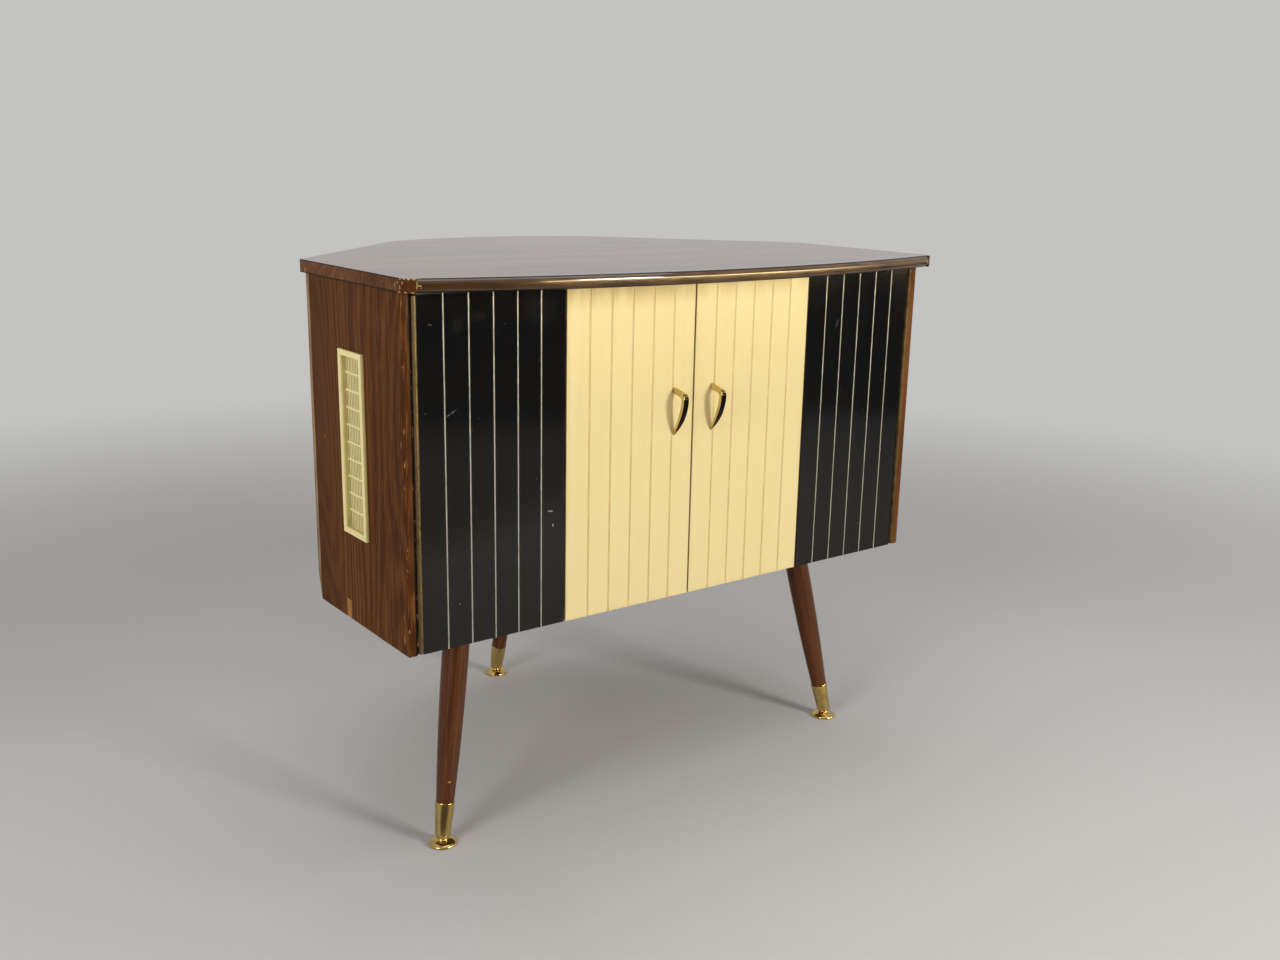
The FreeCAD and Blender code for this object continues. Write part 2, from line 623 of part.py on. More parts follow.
def make_door(name, side):
    """Make one folding door: an outer leaf hinged to the side panel and an inner leaf hinged to the outer one.

    Returns the outer hinge's plate, screws and pin that belong to the carcass.
    """
    outer_plates, outer_screws, outer_pin = make_hinge(
        "%d * Plan.outer_axis_x" % side, "0", "Plan.outer_gap", 1,
        "Plan.outer_knuckle", OUTER_KNUCKLES, "Plan.outer_hinge_z")
    fold_plates, fold_screws, fold_pin = make_hinge(
        "%d * Plan.fold_axis_x" % side, "Plan.fold_axis_y", "Size.hinge_gap", -1,
        "Plan.fold_knuckle", FOLD_KNUCKLES, "Plan.fold_hinge_z")
    if side > 0:
        outer_plates.reverse()
        outer_screws.reverse()
        fold_plates.reverse()
        fold_screws.reverse()
    carcass_plate, outer_leaf_plate = outer_plates
    fold_outer_plate, fold_inner_plate = fold_plates
    node(outer_leaf_plate, "outer_hinge_leaf_plate_%s" % name)
    node(fold_outer_plate, "fold_hinge_outer_plate_%s" % name)
    node(fold_inner_plate, "fold_hinge_inner_plate_%s" % name)
    node(fold_pin, "fold_hinge_pin_%s" % name)
    outer_leaf_screws = node(group(outer_screws[1] + fold_screws[0]), "outer_leaf_screws_%s" % name)
    inner_leaf_screws = node(group(fold_screws[1]), "inner_leaf_screws_%s" % name)
    handle, handle_screw, spigot = make_handle(side)
    node(handle, "handle_%s" % name)
    node(handle_screw, "handle_screw_%s" % name)

    outer_x = "Plan.half_front - Size.leaf_width" if side > 0 else "-Plan.half_front"
    inner_x = "Size.centre_gap / 2" if side > 0 else "-Size.centre_gap / 2 - Size.leaf_width"
    for leaf, left_x, board_tools, face_tools in (
            ("outer", outer_x, [outer_leaf_screws], []),
            ("inner", inner_x, [inner_leaf_screws, handle_screw, spigot], [handle_screw, spigot])):
        board = box("Size.leaf_width", "Size.leaf_board", "Plan.leaf_height",
                    left_x, "Size.facing_thickness", "Size.leg_height")
        facing = box("Size.leaf_width", "Size.facing_thickness", "Plan.leaf_height", left_x, "0", "Size.leg_height")
        stripes = make_stripes(left_x)
        node(cut(board, *board_tools), "%s_leaf_board_%s" % (leaf, name))
        node(cut(facing, stripes, *face_tools), "%s_leaf_facing_%s" % (leaf, name))
        if face_tools:
            node(cut(stripes, *face_tools), "%s_leaf_stripes_%s" % (leaf, name))
        else:
            node(stripes, "%s_leaf_stripes_%s" % (leaf, name))

    strike_x = "Size.catch_from_centre" if side > 0 else "-Size.catch_from_centre - Size.catch_length"
    strike_z = "Plan.carcass_top - Size.rail_height - Size.catch_height"
    strike = box("Size.catch_length", "Size.strike_thickness", "Size.catch_height",
                 strike_x, "Plan.leaf_thickness", strike_z)
    node(strike, "catch_strike_%s" % name)
    return carcass_plate, outer_screws[0], outer_pin


def make_side_panel(name, side, screws, window):
    """Make a side panel, bevelled behind where the rear wall lies against it."""
    corners = [
        (signed(side, "side_inner"), "zero"),
        (signed(side, "side_outer"), "zero"),
        (signed(side, "side_outer"), "side_rear_outer"),
        (signed(side, "side_inner"), "side_rear_inner"),
    ]
    if side < 0:
        corners.reverse()
    blank = plate_body(corners, "Size.carcass_height", "Size.leg_height")
    node(cut(blank, window, group(screws)), "side_panel_%s" % name)


def make_rear():
    """Make the two rear walls at 45 degrees, the curved back panel between them and the corner posts inside."""
    for name, side in SIDES.items():
        corners = [
            (signed(side, "side_outer"), "side_rear_outer"),
            (signed(side, "side_outer"), "side_depth"),
            (signed(side, "back_half_width"), "back_corner_y"),
            (signed(side, "inner_corner_x"), "inner_corner_y"),
        ]
        if side < 0:
            corners.reverse()
        node(plate_body(corners, "Size.carcass_height", "Size.leg_height"), "rear_wall_%s" % name)
    back = [
        ("back_half_width", "back_corner_y", "back_radius", 1),
        ("-back_half_width", "back_corner_y"),
        ("-inner_corner_x", "inner_corner_y", "inner_back_radius", -1),
        ("inner_corner_x", "inner_corner_y"),
    ]
    node(plate_body(back, "Size.carcass_height", "Size.leg_height"), "back_panel")

    post_z = "Size.leg_height + Size.bottom_thickness"
    post_height = "Size.carcass_height - Size.bottom_thickness"
    posts = []
    for side in SIDES.values():
        side_post = [
            (signed(side, "side_inner"), "post_front_y"),
            (signed(side, "side_inner"), "side_rear_inner"),
            (signed(side, "post_wall_x"), "post_wall_y"),
        ]
        back_post = [
            (signed(side, "back_post_wall_x"), "back_post_wall_y"),
            (signed(side, "inner_corner_x"), "inner_corner_y", "inner_back_radius", 1),
            (signed(side, "back_post_arc_x"), "back_post_arc_y"),
            (signed(side, "back_post_arc_x"), "back_post_wall_y"),
        ]
        if side < 0:
            side_post.reverse()
            back_post = [
                back_post[3],
                back_post[2] + back_post[1][2:],
                back_post[1][:2],
                back_post[0],
            ]
        posts.append(plate_body(side_post, post_height, post_z))
        posts.append(plate_body(back_post, post_height, post_z))
    node(group(posts), "corner_posts")


def make_leg(name, foot_x, foot_y, heading):
    """Make a splayed leg, its ferrule, its level glide and its fixings. heading is the splay's way, in degrees.

    Returns the leg's plate blank, hanger bolt and plate screws.
    """
    way_x = "cos(%s)" % heading
    way_y = "sin(%s)" % heading
    axis = "vector(%s; -%s; 0)" % (way_y, way_x)

    def along(item, distance):
        """Set an item on the leg's axis, at a distance from where the axis leaves the glide."""
        reach = "sin(Size.leg_splay) * (%s)" % distance
        x = "%s - %s * %s" % (foot_x, reach, way_x)
        y = "Plan.front_y + %s - %s * %s" % (foot_y, reach, way_y)
        z = "Size.glide_height + cos(Size.leg_splay) * (%s)" % distance
        item.setExpression("Placement", "placement(vector(%s; %s; %s); rotation(%s; Size.leg_splay))"
                           % (x, y, z, axis))
        return item

    def swelled(low, high, end):
        """Turn a piece of the leg's swelled outline, between two radii and up to an end on its axis."""
        return along(turned_shape([
            ("zero", "-leg_spare"),
            (low, "-leg_spare", "swell_radius", 1),
            (high, end),
            ("zero", end),
        ]), "0")

    slab_low = "Size.glide_height"
    slab_high = "Size.leg_height - Size.leg_plate_thickness"
    reach = "(Plan.leg_lean + 2 * Size.leg_top_radius)"
    slab = box("2 * %s" % reach, "2 * %s" % reach, "%s - %s" % (slab_high, slab_low),
               "%s - %s" % (foot_x, reach), "%s - %s" % (foot_y, reach), slab_low)
    shank = common(swelled("leg_low", "leg_high", "leg_far"), slab)
    outside = common(swelled("sleeve_low", "sleeve_high", "ferrule_length"), slab)
    shell = cut(outside, swelled("bore_low", "bore_high", "ferrule_length"))
    bolt = document.addObject("Part::Cylinder", "Rod")
    bind(bolt, Radius="Size.leg_bolt_radius", Height="Size.leg_bolt_grip + Size.leg_bolt_reach")
    along(bolt, "(Size.leg_height - Size.glide_height) / cos(Size.leg_splay) - Size.leg_bolt_grip")
    node(cut(shank, bolt), "leg_%s" % name)
    node(shell, "ferrule_%s" % name)
    glide = turned_body([
        ("zero", "zero"),
        ("rim_inner", "zero", "glide_edge", 1),
        ("glide_radius", "glide_edge"),
        ("glide_radius", "glide_rim", "dome_radius", 1),
        ("glide_neck", "dome_top"),
        ("glide_neck", "glide_height"),
        ("zero", "glide_height"),
    ], foot_x, foot_y, "0")
    node(glide, "glide_%s" % name)

    head_x = "%s - Plan.leg_lean * %s" % (foot_x, way_x)
    head_y = "%s - Plan.leg_lean * %s" % (foot_y, way_y)
    plate = box("Size.leg_plate_size", "Size.leg_plate_size", "Size.leg_plate_thickness",
                "%s - Size.leg_plate_size / 2" % head_x, "%s - Size.leg_plate_size / 2" % head_y, slab_high)
    screws = []
    for step_x in (-1, 1):
        for step_y in (-1, 1):
            inset = "(Size.leg_plate_size / 2 - Size.leg_plate_margin)"
            x = "%s + %d * %s" % (head_x, step_x, inset)
            y = "%s + %d * %s" % (head_y, step_y, inset)
            body = cylinder("Size.plate_screw_radius", "Size.plate_screw_length", x, y, slab_high)
            head = cone("Size.plate_screw_head", "Size.plate_screw_radius", "Size.leg_plate_thickness",
                        x, y, slab_high)
            screws.append(fuse([body, head]))
    return plate, bolt, screws


def make_legs_and_bottom():
    """Make the legs with their fixings, and the bottom panel that the fixings go into."""
    feet = (
        ("front_left", "-Size.front_foot_x", "Size.front_foot_y", "180 + Size.front_leg_turn"),
        ("front_right", "Size.front_foot_x", "Size.front_foot_y", "-Size.front_leg_turn"),
        ("back", "0", "Size.back_foot_y", "90"),
    )
    plates = []
    bolts = []
    screws = []
    for name, foot_x, foot_y, heading in feet:
        plate, bolt, plate_screws = make_leg(name, foot_x, foot_y, heading)
        plates.append(cut(plate, bolt, group(plate_screws)))
        bolts.append(bolt)
        screws.extend(plate_screws)
    node(group(plates), "leg_plates")
    all_bolts = node(group(bolts), "leg_bolts")
    all_screws = node(group(screws), "leg_plate_screws")
    outline = mirrored_outline([
        ("side_inner", "inside_front"),
        ("side_inner", "side_rear_inner"),
        ("inner_corner_x", "inner_corner_y", "inner_back_radius", 1),
    ])
    blank = plate_body(outline, "Size.bottom_thickness", "Size.leg_height")
    node(cut(blank, all_bolts, all_screws), "bottom_panel")


def make_carcass():
    """Make the sides, rear, rail, grilles and catches, with the folding doors that hang on them."""
    frame_screws = []
    pins = []
    for name, side in SIDES.items():
        plate, screws, pin = make_door(name, side)
        grille, window = make_grille(side)
        make_side_panel(name, side, screws, window)
        node(plate, "outer_hinge_frame_plate_%s" % name)
        node(grille, "vent_grille_%s" % name)
        frame_screws.extend(screws)
        pins.append(pin)
    node(group(frame_screws), "outer_hinge_frame_screws")
    node(group(pins), "outer_hinge_pins")
    make_rear()
    rail = box("2 * Plan.side_inner", "Size.rail_depth", "Size.rail_height",
               "-Plan.side_inner", "Plan.inside_front", "Plan.carcass_top - Size.rail_height")
    node(rail, "front_top_rail")
    catches = []
    for side in SIDES.values():
        x = "Size.catch_from_centre" if side > 0 else "-Size.catch_from_centre - Size.catch_length"
        catches.append(box("Size.catch_length", "Size.catch_depth", "Size.catch_height", x,
                           "Plan.leaf_thickness + Size.strike_thickness + Size.catch_gap",
                           "Plan.carcass_top - Size.rail_height - Size.catch_height"))
    node(group(catches), "door_catches")


def check_document():
    """Stop if any object failed or any sub-part's shape is empty or broken."""
    for item in document.Objects:
        if "Invalid" in item.State or "Error" in item.State:
            raise RuntimeError("%s (%s) failed: %s" % (item.Name, item.Label, item.State))
    for item in nodes:
        if item.Shape.isNull() or not item.Shape.isValid() or not item.Shape.Solids:
            raise RuntimeError("%s has no valid solid" % item.Label)


def write_parts():
    """Write each sub-part to its own file and print a summary."""
    os.makedirs("parts", exist_ok=True)
    for item in nodes:
        item.Shape.exportStep("parts/%s.step" % item.Label)
        extent = item.Shape.BoundBox
        print("%-34s solids %3d  volume %11.1f  x %7.1f..%7.1f  y %7.1f..%7.1f  z %6.1f..%6.1f" % (
            item.Label, len(item.Shape.Solids), item.Shape.Volume,
            extent.XMin, extent.XMax, extent.YMin, extent.YMax, extent.ZMin, extent.ZMax))


make_top()
make_carcass()
make_legs_and_bottom()
document.recompute()
check_document()
write_parts()
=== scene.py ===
"""Looks of a corner television cabinet with three legs and two folding doors.

Sizes are in metres, in the frame of the cabinet's CAD model.
"""
import functools
import logging
import math
from dataclasses import dataclass, replace
from enum import Enum
from typing import Callable, Sequence

import bmesh
import bpy
from mathutils import Matrix, Vector


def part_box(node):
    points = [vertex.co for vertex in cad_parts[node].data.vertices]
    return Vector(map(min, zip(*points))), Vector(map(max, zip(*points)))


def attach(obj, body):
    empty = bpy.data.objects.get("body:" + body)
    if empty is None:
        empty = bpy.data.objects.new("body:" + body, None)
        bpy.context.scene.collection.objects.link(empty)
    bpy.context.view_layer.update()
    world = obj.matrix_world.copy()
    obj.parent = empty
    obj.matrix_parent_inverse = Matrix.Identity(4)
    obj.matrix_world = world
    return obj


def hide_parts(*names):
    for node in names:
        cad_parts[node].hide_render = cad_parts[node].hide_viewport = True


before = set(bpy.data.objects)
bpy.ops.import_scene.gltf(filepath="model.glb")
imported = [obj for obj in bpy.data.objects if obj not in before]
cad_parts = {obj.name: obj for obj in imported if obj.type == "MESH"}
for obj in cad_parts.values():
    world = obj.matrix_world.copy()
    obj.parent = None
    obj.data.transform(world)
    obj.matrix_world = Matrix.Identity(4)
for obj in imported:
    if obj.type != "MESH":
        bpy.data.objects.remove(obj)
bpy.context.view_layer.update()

LOG = logging.getLogger("cabinet")
MM = 0.001
# How near two places count as one, how near corners are merged, and how straight an edge or face lies.
NEAR = 0.1 * MM
MERGE = 0.005 * MM
STRAIGHT = 0.9
# The steepest way of an edge that counts as level, and how squarely a facet faces forward to be a front.
LEVEL = 0.5
FORWARD = 0.6
# The smallest turn at an edge that is picked, and at one that is rounded with all others of its piece.
SHARP = math.radians(20)
MOULDED = math.radians(40)

Colour = tuple[float, float, float]
Point = tuple[float, ...]
Box = tuple[Point, Point]
Piece = bpy.types.Object
Node = bpy.types.Node
Socket = bpy.types.NodeSocket
Value = Socket | float | Sequence[float]
Test = Callable[[Vector, Vector], bool]


class Grain(Enum):
    """The axis that a board's grain runs along."""

    UPRIGHT = "z"
    ALONG_FRONT = "x"

    def scale(self, across: float, along: float) -> Point:
        """Return a pattern's repeats per metre on X, Y and Z from those across and along the grain."""
        return tuple(along if axis == self.value else across for axis in "xyz")


class Side(Enum):
    """A side of the cabinet, seen from the front."""

    LEFT = -1
    RIGHT = 1

    @property
    def word(self) -> str:
        """Return the side's word in the CAD nodes' names."""
        return self.name.lower()


class Nodes:
    """Writes the nodes of one tree."""

    def __init__(self, tree: bpy.types.NodeTree, output: str) -> None:
        """Empty a tree but for a new output.

        Args:
            tree: The tree.
            output: The output node's type.
        """
        self.tree = tree
        tree.nodes.clear()
        self.output = self.add(output)

    def add(self, kind: str, inputs: dict[str | int, Value] | None = None, **settings: object) -> Node:
        """Add a node.

        Args:
            kind: The node's type.
            inputs: What its inputs are linked to or set to, by their names or numbers.
            **settings: Its properties.

        Returns:
            The node.
        """
        node = self.tree.nodes.new(kind)
        for name, value in settings.items():
            setattr(node, name, value)
        for name, value in (inputs or {}).items():
            self.plug(node.inputs[name], value)
        return node

    def plug(self, socket: Socket, value: Value) -> None:
        """Link an input to an output, or set it to a number, a vector or a colour.

        Args:
            socket: The input.
            value: What it gets.
        """
        if isinstance(value, Socket):
            self.tree.links.new(value, socket)
        else:
            socket.default_value = (*value, 1.0) if socket.type == "RGBA" else value

    def show(self, shader: Node) -> None:
        """Link a shader to the output."""
        self.plug(self.output.inputs["Surface"], shader.outputs[0])

    def blend(self, factor: Value, first: Node, second: Node) -> None:
        """Show one shader where a factor is 0 and another one where it is 1."""
        shaders = {0: factor, 1: first.outputs[0], 2: second.outputs[0]}
        self.show(self.add("ShaderNodeMixShader", shaders))

    def calc(self, operation: str, first: Value, second: Value = 0.0, clamp: bool = False) -> Socket:
        """Return what an operation makes of two values, kept between 0 and 1 if that is asked for."""
        node = self.add("ShaderNodeMath", {0: first, 1: second}, operation=operation, use_clamp=clamp)
        return node.outputs[0]

    def times(self, first: Value, second: Value) -> Socket:
        """Return the product of two values."""
        return self.calc("MULTIPLY", first, second)

    def plus(self, start: Value, value: Value, share: float, clamp: bool = False) -> Socket:
        """Return a value with a share of another one added."""
        return self.calc("ADD", start, self.times(value, share), clamp)

    def most(self, first: Value, second: Value) -> Socket:
        """Return the larger of two values."""
        return self.calc("MAXIMUM", first, second)

    def least(self, first: Value, second: Value) -> Socket:
        """Return the smaller of two values."""
        return self.calc("MINIMUM", first, second)


class Graph(Nodes):
    """Writes the nodes of one procedural material around a principled shader."""

    def __init__(self, name: str, attribute: str | None = None) -> None:
        """Start a material.

        Args:
            name: The material's name.
            attribute: A mesh attribute that gives the pattern its place, where Object coordinates won't do.
        """
        self.material = bpy.data.materials.new(name)
        self.material.use_nodes = True
        super().__init__(self.material.node_tree, "ShaderNodeOutputMaterial")
        self.shader = self.add("ShaderNodeBsdfPrincipled")
        self.show(self.shader)
        if attribute is None:
            self.place = self.add("ShaderNodeTexCoord").outputs["Object"]
        else:
            self.place = self.add("ShaderNodeAttribute", attribute_name=attribute).outputs["Vector"]

    def surface(self, **values: Value) -> None:
        """Set the shader's inputs, whose names have underscores for spaces."""
        for name, value in values.items():
            self.plug(self.shader.inputs[name.replace("_", " ")], value)

    def bump(self, height: Socket, depth: float, strength: float) -> None:
        """Roughen the surface by a relief with its depth in metres and its strength."""
        node = self.add("ShaderNodeBump", {"Strength": strength, "Distance": depth, "Height": height})
        self.surface(Normal=node.outputs["Normal"])

    def along(self, axis: str, place: Socket | None = None) -> Socket:
        """Return one coordinate of the pattern's place, or of another one."""
        node = self.add("ShaderNodeSeparateXYZ", {0: self.place if place is None else place})
        return node.outputs[axis.upper()]

    def distance(self, place: Socket) -> Socket:
        """Return how far a place is from the origin."""
        return self.add("ShaderNodeVectorMath", {0: place}, operation="LENGTH").outputs["Value"]

    def fade(self, value: Value, low: float, high: float) -> Socket:
        """Return a smooth step from 0 at low to 1 at high, which may be the lower of the two.

        Args:
            value: The value to judge.
            low: Where the step is 0.
            high: Where the step is 1.

        Returns:
            The step.
        """
        rises = low < high
        node = self.add("ShaderNodeMapRange", {
            "Value": value, "From Min": min(low, high), "From Max": max(low, high),
            "To Min": float(not rises), "To Max": float(rises)}, interpolation_type="SMOOTHSTEP")
        return node.outputs["Result"]

    def stretch(self, scale: Sequence[float], turn: Sequence[float] = (0, 0, 0),
                shift: Sequence[float] = (0, 0, 0)) -> Socket:
        """Return the pattern's place, stretched, turned and shifted.

        Args:
            scale: Repeats per metre along each axis.
            turn: Turns about each axis, in degrees.
            shift: Shifts along each axis, in metres.

        Returns:
            The new place.
        """
        node = self.add("ShaderNodeMapping", {
            "Vector": self.place, "Scale": [1 / repeats for repeats in scale],
            "Rotation": [math.radians(angle) for angle in turn], "Location": shift}, vector_type="TEXTURE")
        return node.outputs["Vector"]

    def noise(self, scale: Sequence[float], detail: float = 2.0, roughness: float = 0.5, warp: float = 0.0,
              turn: float = 0.0) -> Socket:
        """Return cloudy noise with about one cloud per repeat.

        Args:
            scale: Repeats per metre along each axis.
            detail: How many finer layers it has.
            roughness: How strong the finer layers are.
            warp: How far the noise distorts itself.
            turn: A turn about each axis, in degrees.

        Returns:
            The noise, mostly between 0.25 and 0.75.
        """
        node = self.add("ShaderNodeTexNoise", {
            "Vector": self.stretch(scale, (turn, turn, turn)), "Scale": 1.0, "Detail": detail,
            "Roughness": roughness, "Distortion": warp})
        return node.outputs[0]

    def specks(self, repeats: float) -> Socket:
        """Return the distance to the nearest of scattered points, of which a metre has so many repeats."""
        inputs = {"Vector": self.stretch((repeats, repeats, repeats)), "Scale": 1.0}
        return self.add("ShaderNodeTexVoronoi", inputs, feature="F1").outputs["Distance"]

    def ramp(self, value: Socket, *stops: tuple[float, Colour]) -> Socket:
        """Return a colour that runs through stops.

        Args:
            value: Where to read the ramp, from 0 to 1.
            *stops: Places on the ramp with their colours, in order.

        Returns:
            The colour.
        """
        node = self.add("ShaderNodeValToRGB", {"Fac": value})
        elements = node.color_ramp.elements
        while len(elements) < len(stops):
            elements.new(0.5)
        for element, (position, colour) in zip(elements, stops):
            element.position = position
            element.color = (*colour, 1.0)
        return node.outputs["Color"]

    def mix(self, factor: Value, low: Value, high: Value) -> Socket:
        """Return a colour with so much of a second one mixed in."""
        return self.add("ShaderNodeMix", {0: factor, 6: low, 7: high}, data_type="RGBA").outputs[2]

    def spot(self, middle: Sequence[float], reach: Sequence[float],
             turn: Sequence[float] = (0, 0, 0)) -> Socket:
        """Return a mask of one soft-edged oval mark, by its middle, its reach and its turn in degrees."""
        place = self.stretch([1 / part for part in reach], turn, middle)
        return self.fade(self.distance(place), 1.0, 0.45)

    def within(self, box: Box, soft: float = 0.3 * MM) -> Socket:
        """Return a mask of a box.

        Args:
            box: The box.
            soft: How far its edges fade to each side.

        Returns:
            The mask.
        """
        mask: Value = 1.0
        for axis, start, end in zip("xyz", *box):
            value = self.along(axis)
            past_start = self.fade(value, start - soft, start + soft)
            before_end = self.fade(value, end + soft, end - soft)
            mask = self.times(mask, self.times(past_start, before_end))
        return mask

    def arris(self, box: Box) -> Socket:
        """Return the distance from a board's surface to its nearest edge.

        Args:
            box: The box that the board fills.

        Returns:
            The distance in metres.
        """
        near = []
        for axis, start, end in zip("xyz", *box):
            value = self.along(axis)
            near.append(self.least(self.calc("SUBTRACT", value, start), self.calc("SUBTRACT", end, value)))
        small = self.least(near[0], near[1])
        large = self.most(near[0], near[1])
        return self.most(small, self.least(large, near[2]))


@dataclass(frozen=True)
class Finish:
    """A surface, drawn as nodes once and shared by the pieces that have it.

    Attributes:
        name: The material's name.
        slot: The record's material slot that it belongs to; not used.
    """

    name: str
    slot: str

    def material(self) -> bpy.types.Material:
        """Return the finish's material, drawn on first use."""
        found = bpy.data.materials.get(self.name)
        return found if found is not None else self.draw().material

    def draw(self) -> Graph:
        """Return the finish's nodes; each kind of finish draws its own."""
        raise NotImplementedError


# The near-black of the wood's dark bands: painted shadow lines, and dark lines along arrises.
BAND_BLACK: Colour = (0.011, 0.006, 0.003)
RING_DENSITY = 190.0


@dataclass(frozen=True)
class WoodFinish(Finish):
    """Stained and lacquered wood with figure, streaks, pores and worn arrises.

    Attributes:
        dark: The colour of the late wood.
        mid: The colour between.
        light: The colour of the early wood.
        grain: The way that the grain runs.
        roughness: The lacquer's roughness.
        coat: How much clear gloss lies on top.
        coat_roughness: The clear gloss's roughness.
        coat_ior: The clear gloss's refractive index.
        gloss_above: The level above which the clear gloss lies, if it doesn't lie all over.
        shine: The lacquer's own specular level.
        figure: How strong the broad figure is.
        raw: The colour of the bare wood where the lacquer has gone.
        box: The box of the board whose arrises are worn, if any are.
        wear: How far the wear reaches in from an arris.
        patches: Boxes in which the bare wood shows.
        chips: Middles and reaches of small places where the bare wood shows.
        dark_bands: Boxes that are painted near-black and lose their clear gloss: painted shadow lines, and
            dark lines along arrises.
        darker_along: An axis with the levels where the colour starts to darken and where it is darkest; on
            the side panels and the top this paints shade.
        attribute: The mesh attribute that gives the grain its place, if any does.
    """

    dark: Colour
    mid: Colour
    light: Colour
    grain: Grain
    roughness: float = 0.45
    coat: float = 0.0
    coat_roughness: float = 0.1
    coat_ior: float = 1.5
    gloss_above: float | None = None
    shine: float = 0.035
    figure: float = 0.05
    raw: Colour = (0.46, 0.22, 0.065)
    box: Box | None = None
    wear: float = 2.5 * MM
    patches: tuple[Box, ...] = ()
    chips: tuple[Box, ...] = ()
    dark_bands: tuple[Box, ...] = ()
    darker_along: tuple[str, float, float] | None = None
    attribute: str | None = None

    def draw(self) -> Graph:
        """Draw the wood.

        Returns:
            Its nodes.
        """
        graph = Graph(self.name, self.attribute)
        broad = graph.noise(self.grain.scale(6.5, 0.9), detail=1.5, roughness=0.45, warp=0.25)
        rings = graph.calc("SINE", graph.times(broad, RING_DENSITY))
        streaks = graph.noise(self.grain.scale(260.0, 5.0), detail=3.0, roughness=0.55, warp=0.25)
        fine = graph.noise(self.grain.scale(820.0, 15.0), roughness=0.55)
        strokes = graph.fade(graph.noise(self.grain.scale(480.0, 24.0), detail=1.0, turn=1.5), 0.56, 0.7)
        tone = graph.times(streaks, 0.42)
        for pattern, share in ((fine, 0.24), (rings, self.figure), (broad, 0.34)):
            tone = graph.plus(tone, pattern, share)
        colour = graph.ramp(tone, (0.39, self.dark), (0.5, self.mid), (0.62, self.light))
        colour = graph.mix(graph.times(strokes, 0.7), colour, self.light)
        # Darken the colour along an axis; on the side panels and the top this is painted shade.
        if self.darker_along is not None:
            axis, start, end = self.darker_along
            darkening = graph.fade(graph.along(axis), start, end)
            colour = graph.mix(graph.times(darkening, 0.7), colour, self.dark)
        coat: Value = self.coat
        # Paint each dark band near-black and take the clear gloss off it; most of them are painted shadow
        # lines.
        for box in self.dark_bands:
            band_mask = graph.within(box)
            colour = graph.mix(band_mask, colour, BAND_BLACK)
            coat = graph.times(coat, graph.calc("SUBTRACT", 1.0, band_mask))
        rough = graph.plus(self.roughness - 0.06, streaks, 0.12)
        bare = self.bare(graph)
        if bare is not None:
            raw = graph.mix(streaks, self.raw, tuple(0.55 * part for part in self.raw))
            colour = graph.mix(bare, colour, raw)
            rough = graph.plus(rough, bare, 0.25, clamp=True)
        if self.gloss_above is not None:
            step = graph.fade(graph.along("z"), self.gloss_above - 0.4 * MM, self.gloss_above + 0.4 * MM)
            grained = graph.plus(0.86, graph.fade(streaks, 0.3, 0.7), 0.14)
            coat = graph.times(graph.times(step, grained), coat)
        graph.surface(Base_Color=colour, Roughness=rough, Specular_IOR_Level=self.shine, Coat_Weight=coat,
                      Coat_Roughness=self.coat_roughness, Coat_IOR=self.coat_ior)
        graph.bump(graph.plus(fine, strokes, -0.6), depth=0.04 * MM, strength=0.5)
        return graph

    def bare(self, graph: Graph) -> Socket | None:
        """Return where the lacquer has gone.

        Args:
            graph: The wood's nodes.

        Returns:
            A mask, or None where all the lacquer is whole.
        """
        masks = []
        if self.box is not None:
            near = graph.calc("DIVIDE", graph.arris(self.box), self.wear)
            flakes = graph.noise(self.grain.scale(170.0, 55.0), detail=4.0, roughness=0.7)
            masks.append(graph.fade(graph.plus(flakes, near, -0.16), 0.5, 0.57))
        masks += [graph.spot(*chip) for chip in self.chips]
        masks += [graph.within(patch) for patch in self.patches]
        return functools.reduce(graph.most, masks) if masks else None


@dataclass(frozen=True)
class Nick:
    """A single mark on a leaf, in millimetres.

    Attributes:
        x: Where it is from side to side.
        z: Its height.
        width: How far it reaches to each side before its turn.
        height: How far it reaches up and down before its turn.
        turn: Its turn in degrees.
        strength: How strong it is.
    """

    x: float
    z: float
    width: float
    height: float
    turn: float
    strength: float

    def mask(self, graph: Graph, y: float) -> Socket:
        """Return the mark's mask at the leaf's depth."""
        reach = (self.width * MM, 1.0, self.height * MM)
        return graph.spot((self.x * MM, y, self.z * MM), reach, (0, self.turn, 0))


# The greatest strength of a nick that is a smooth smudge.
SMUDGE = 0.1


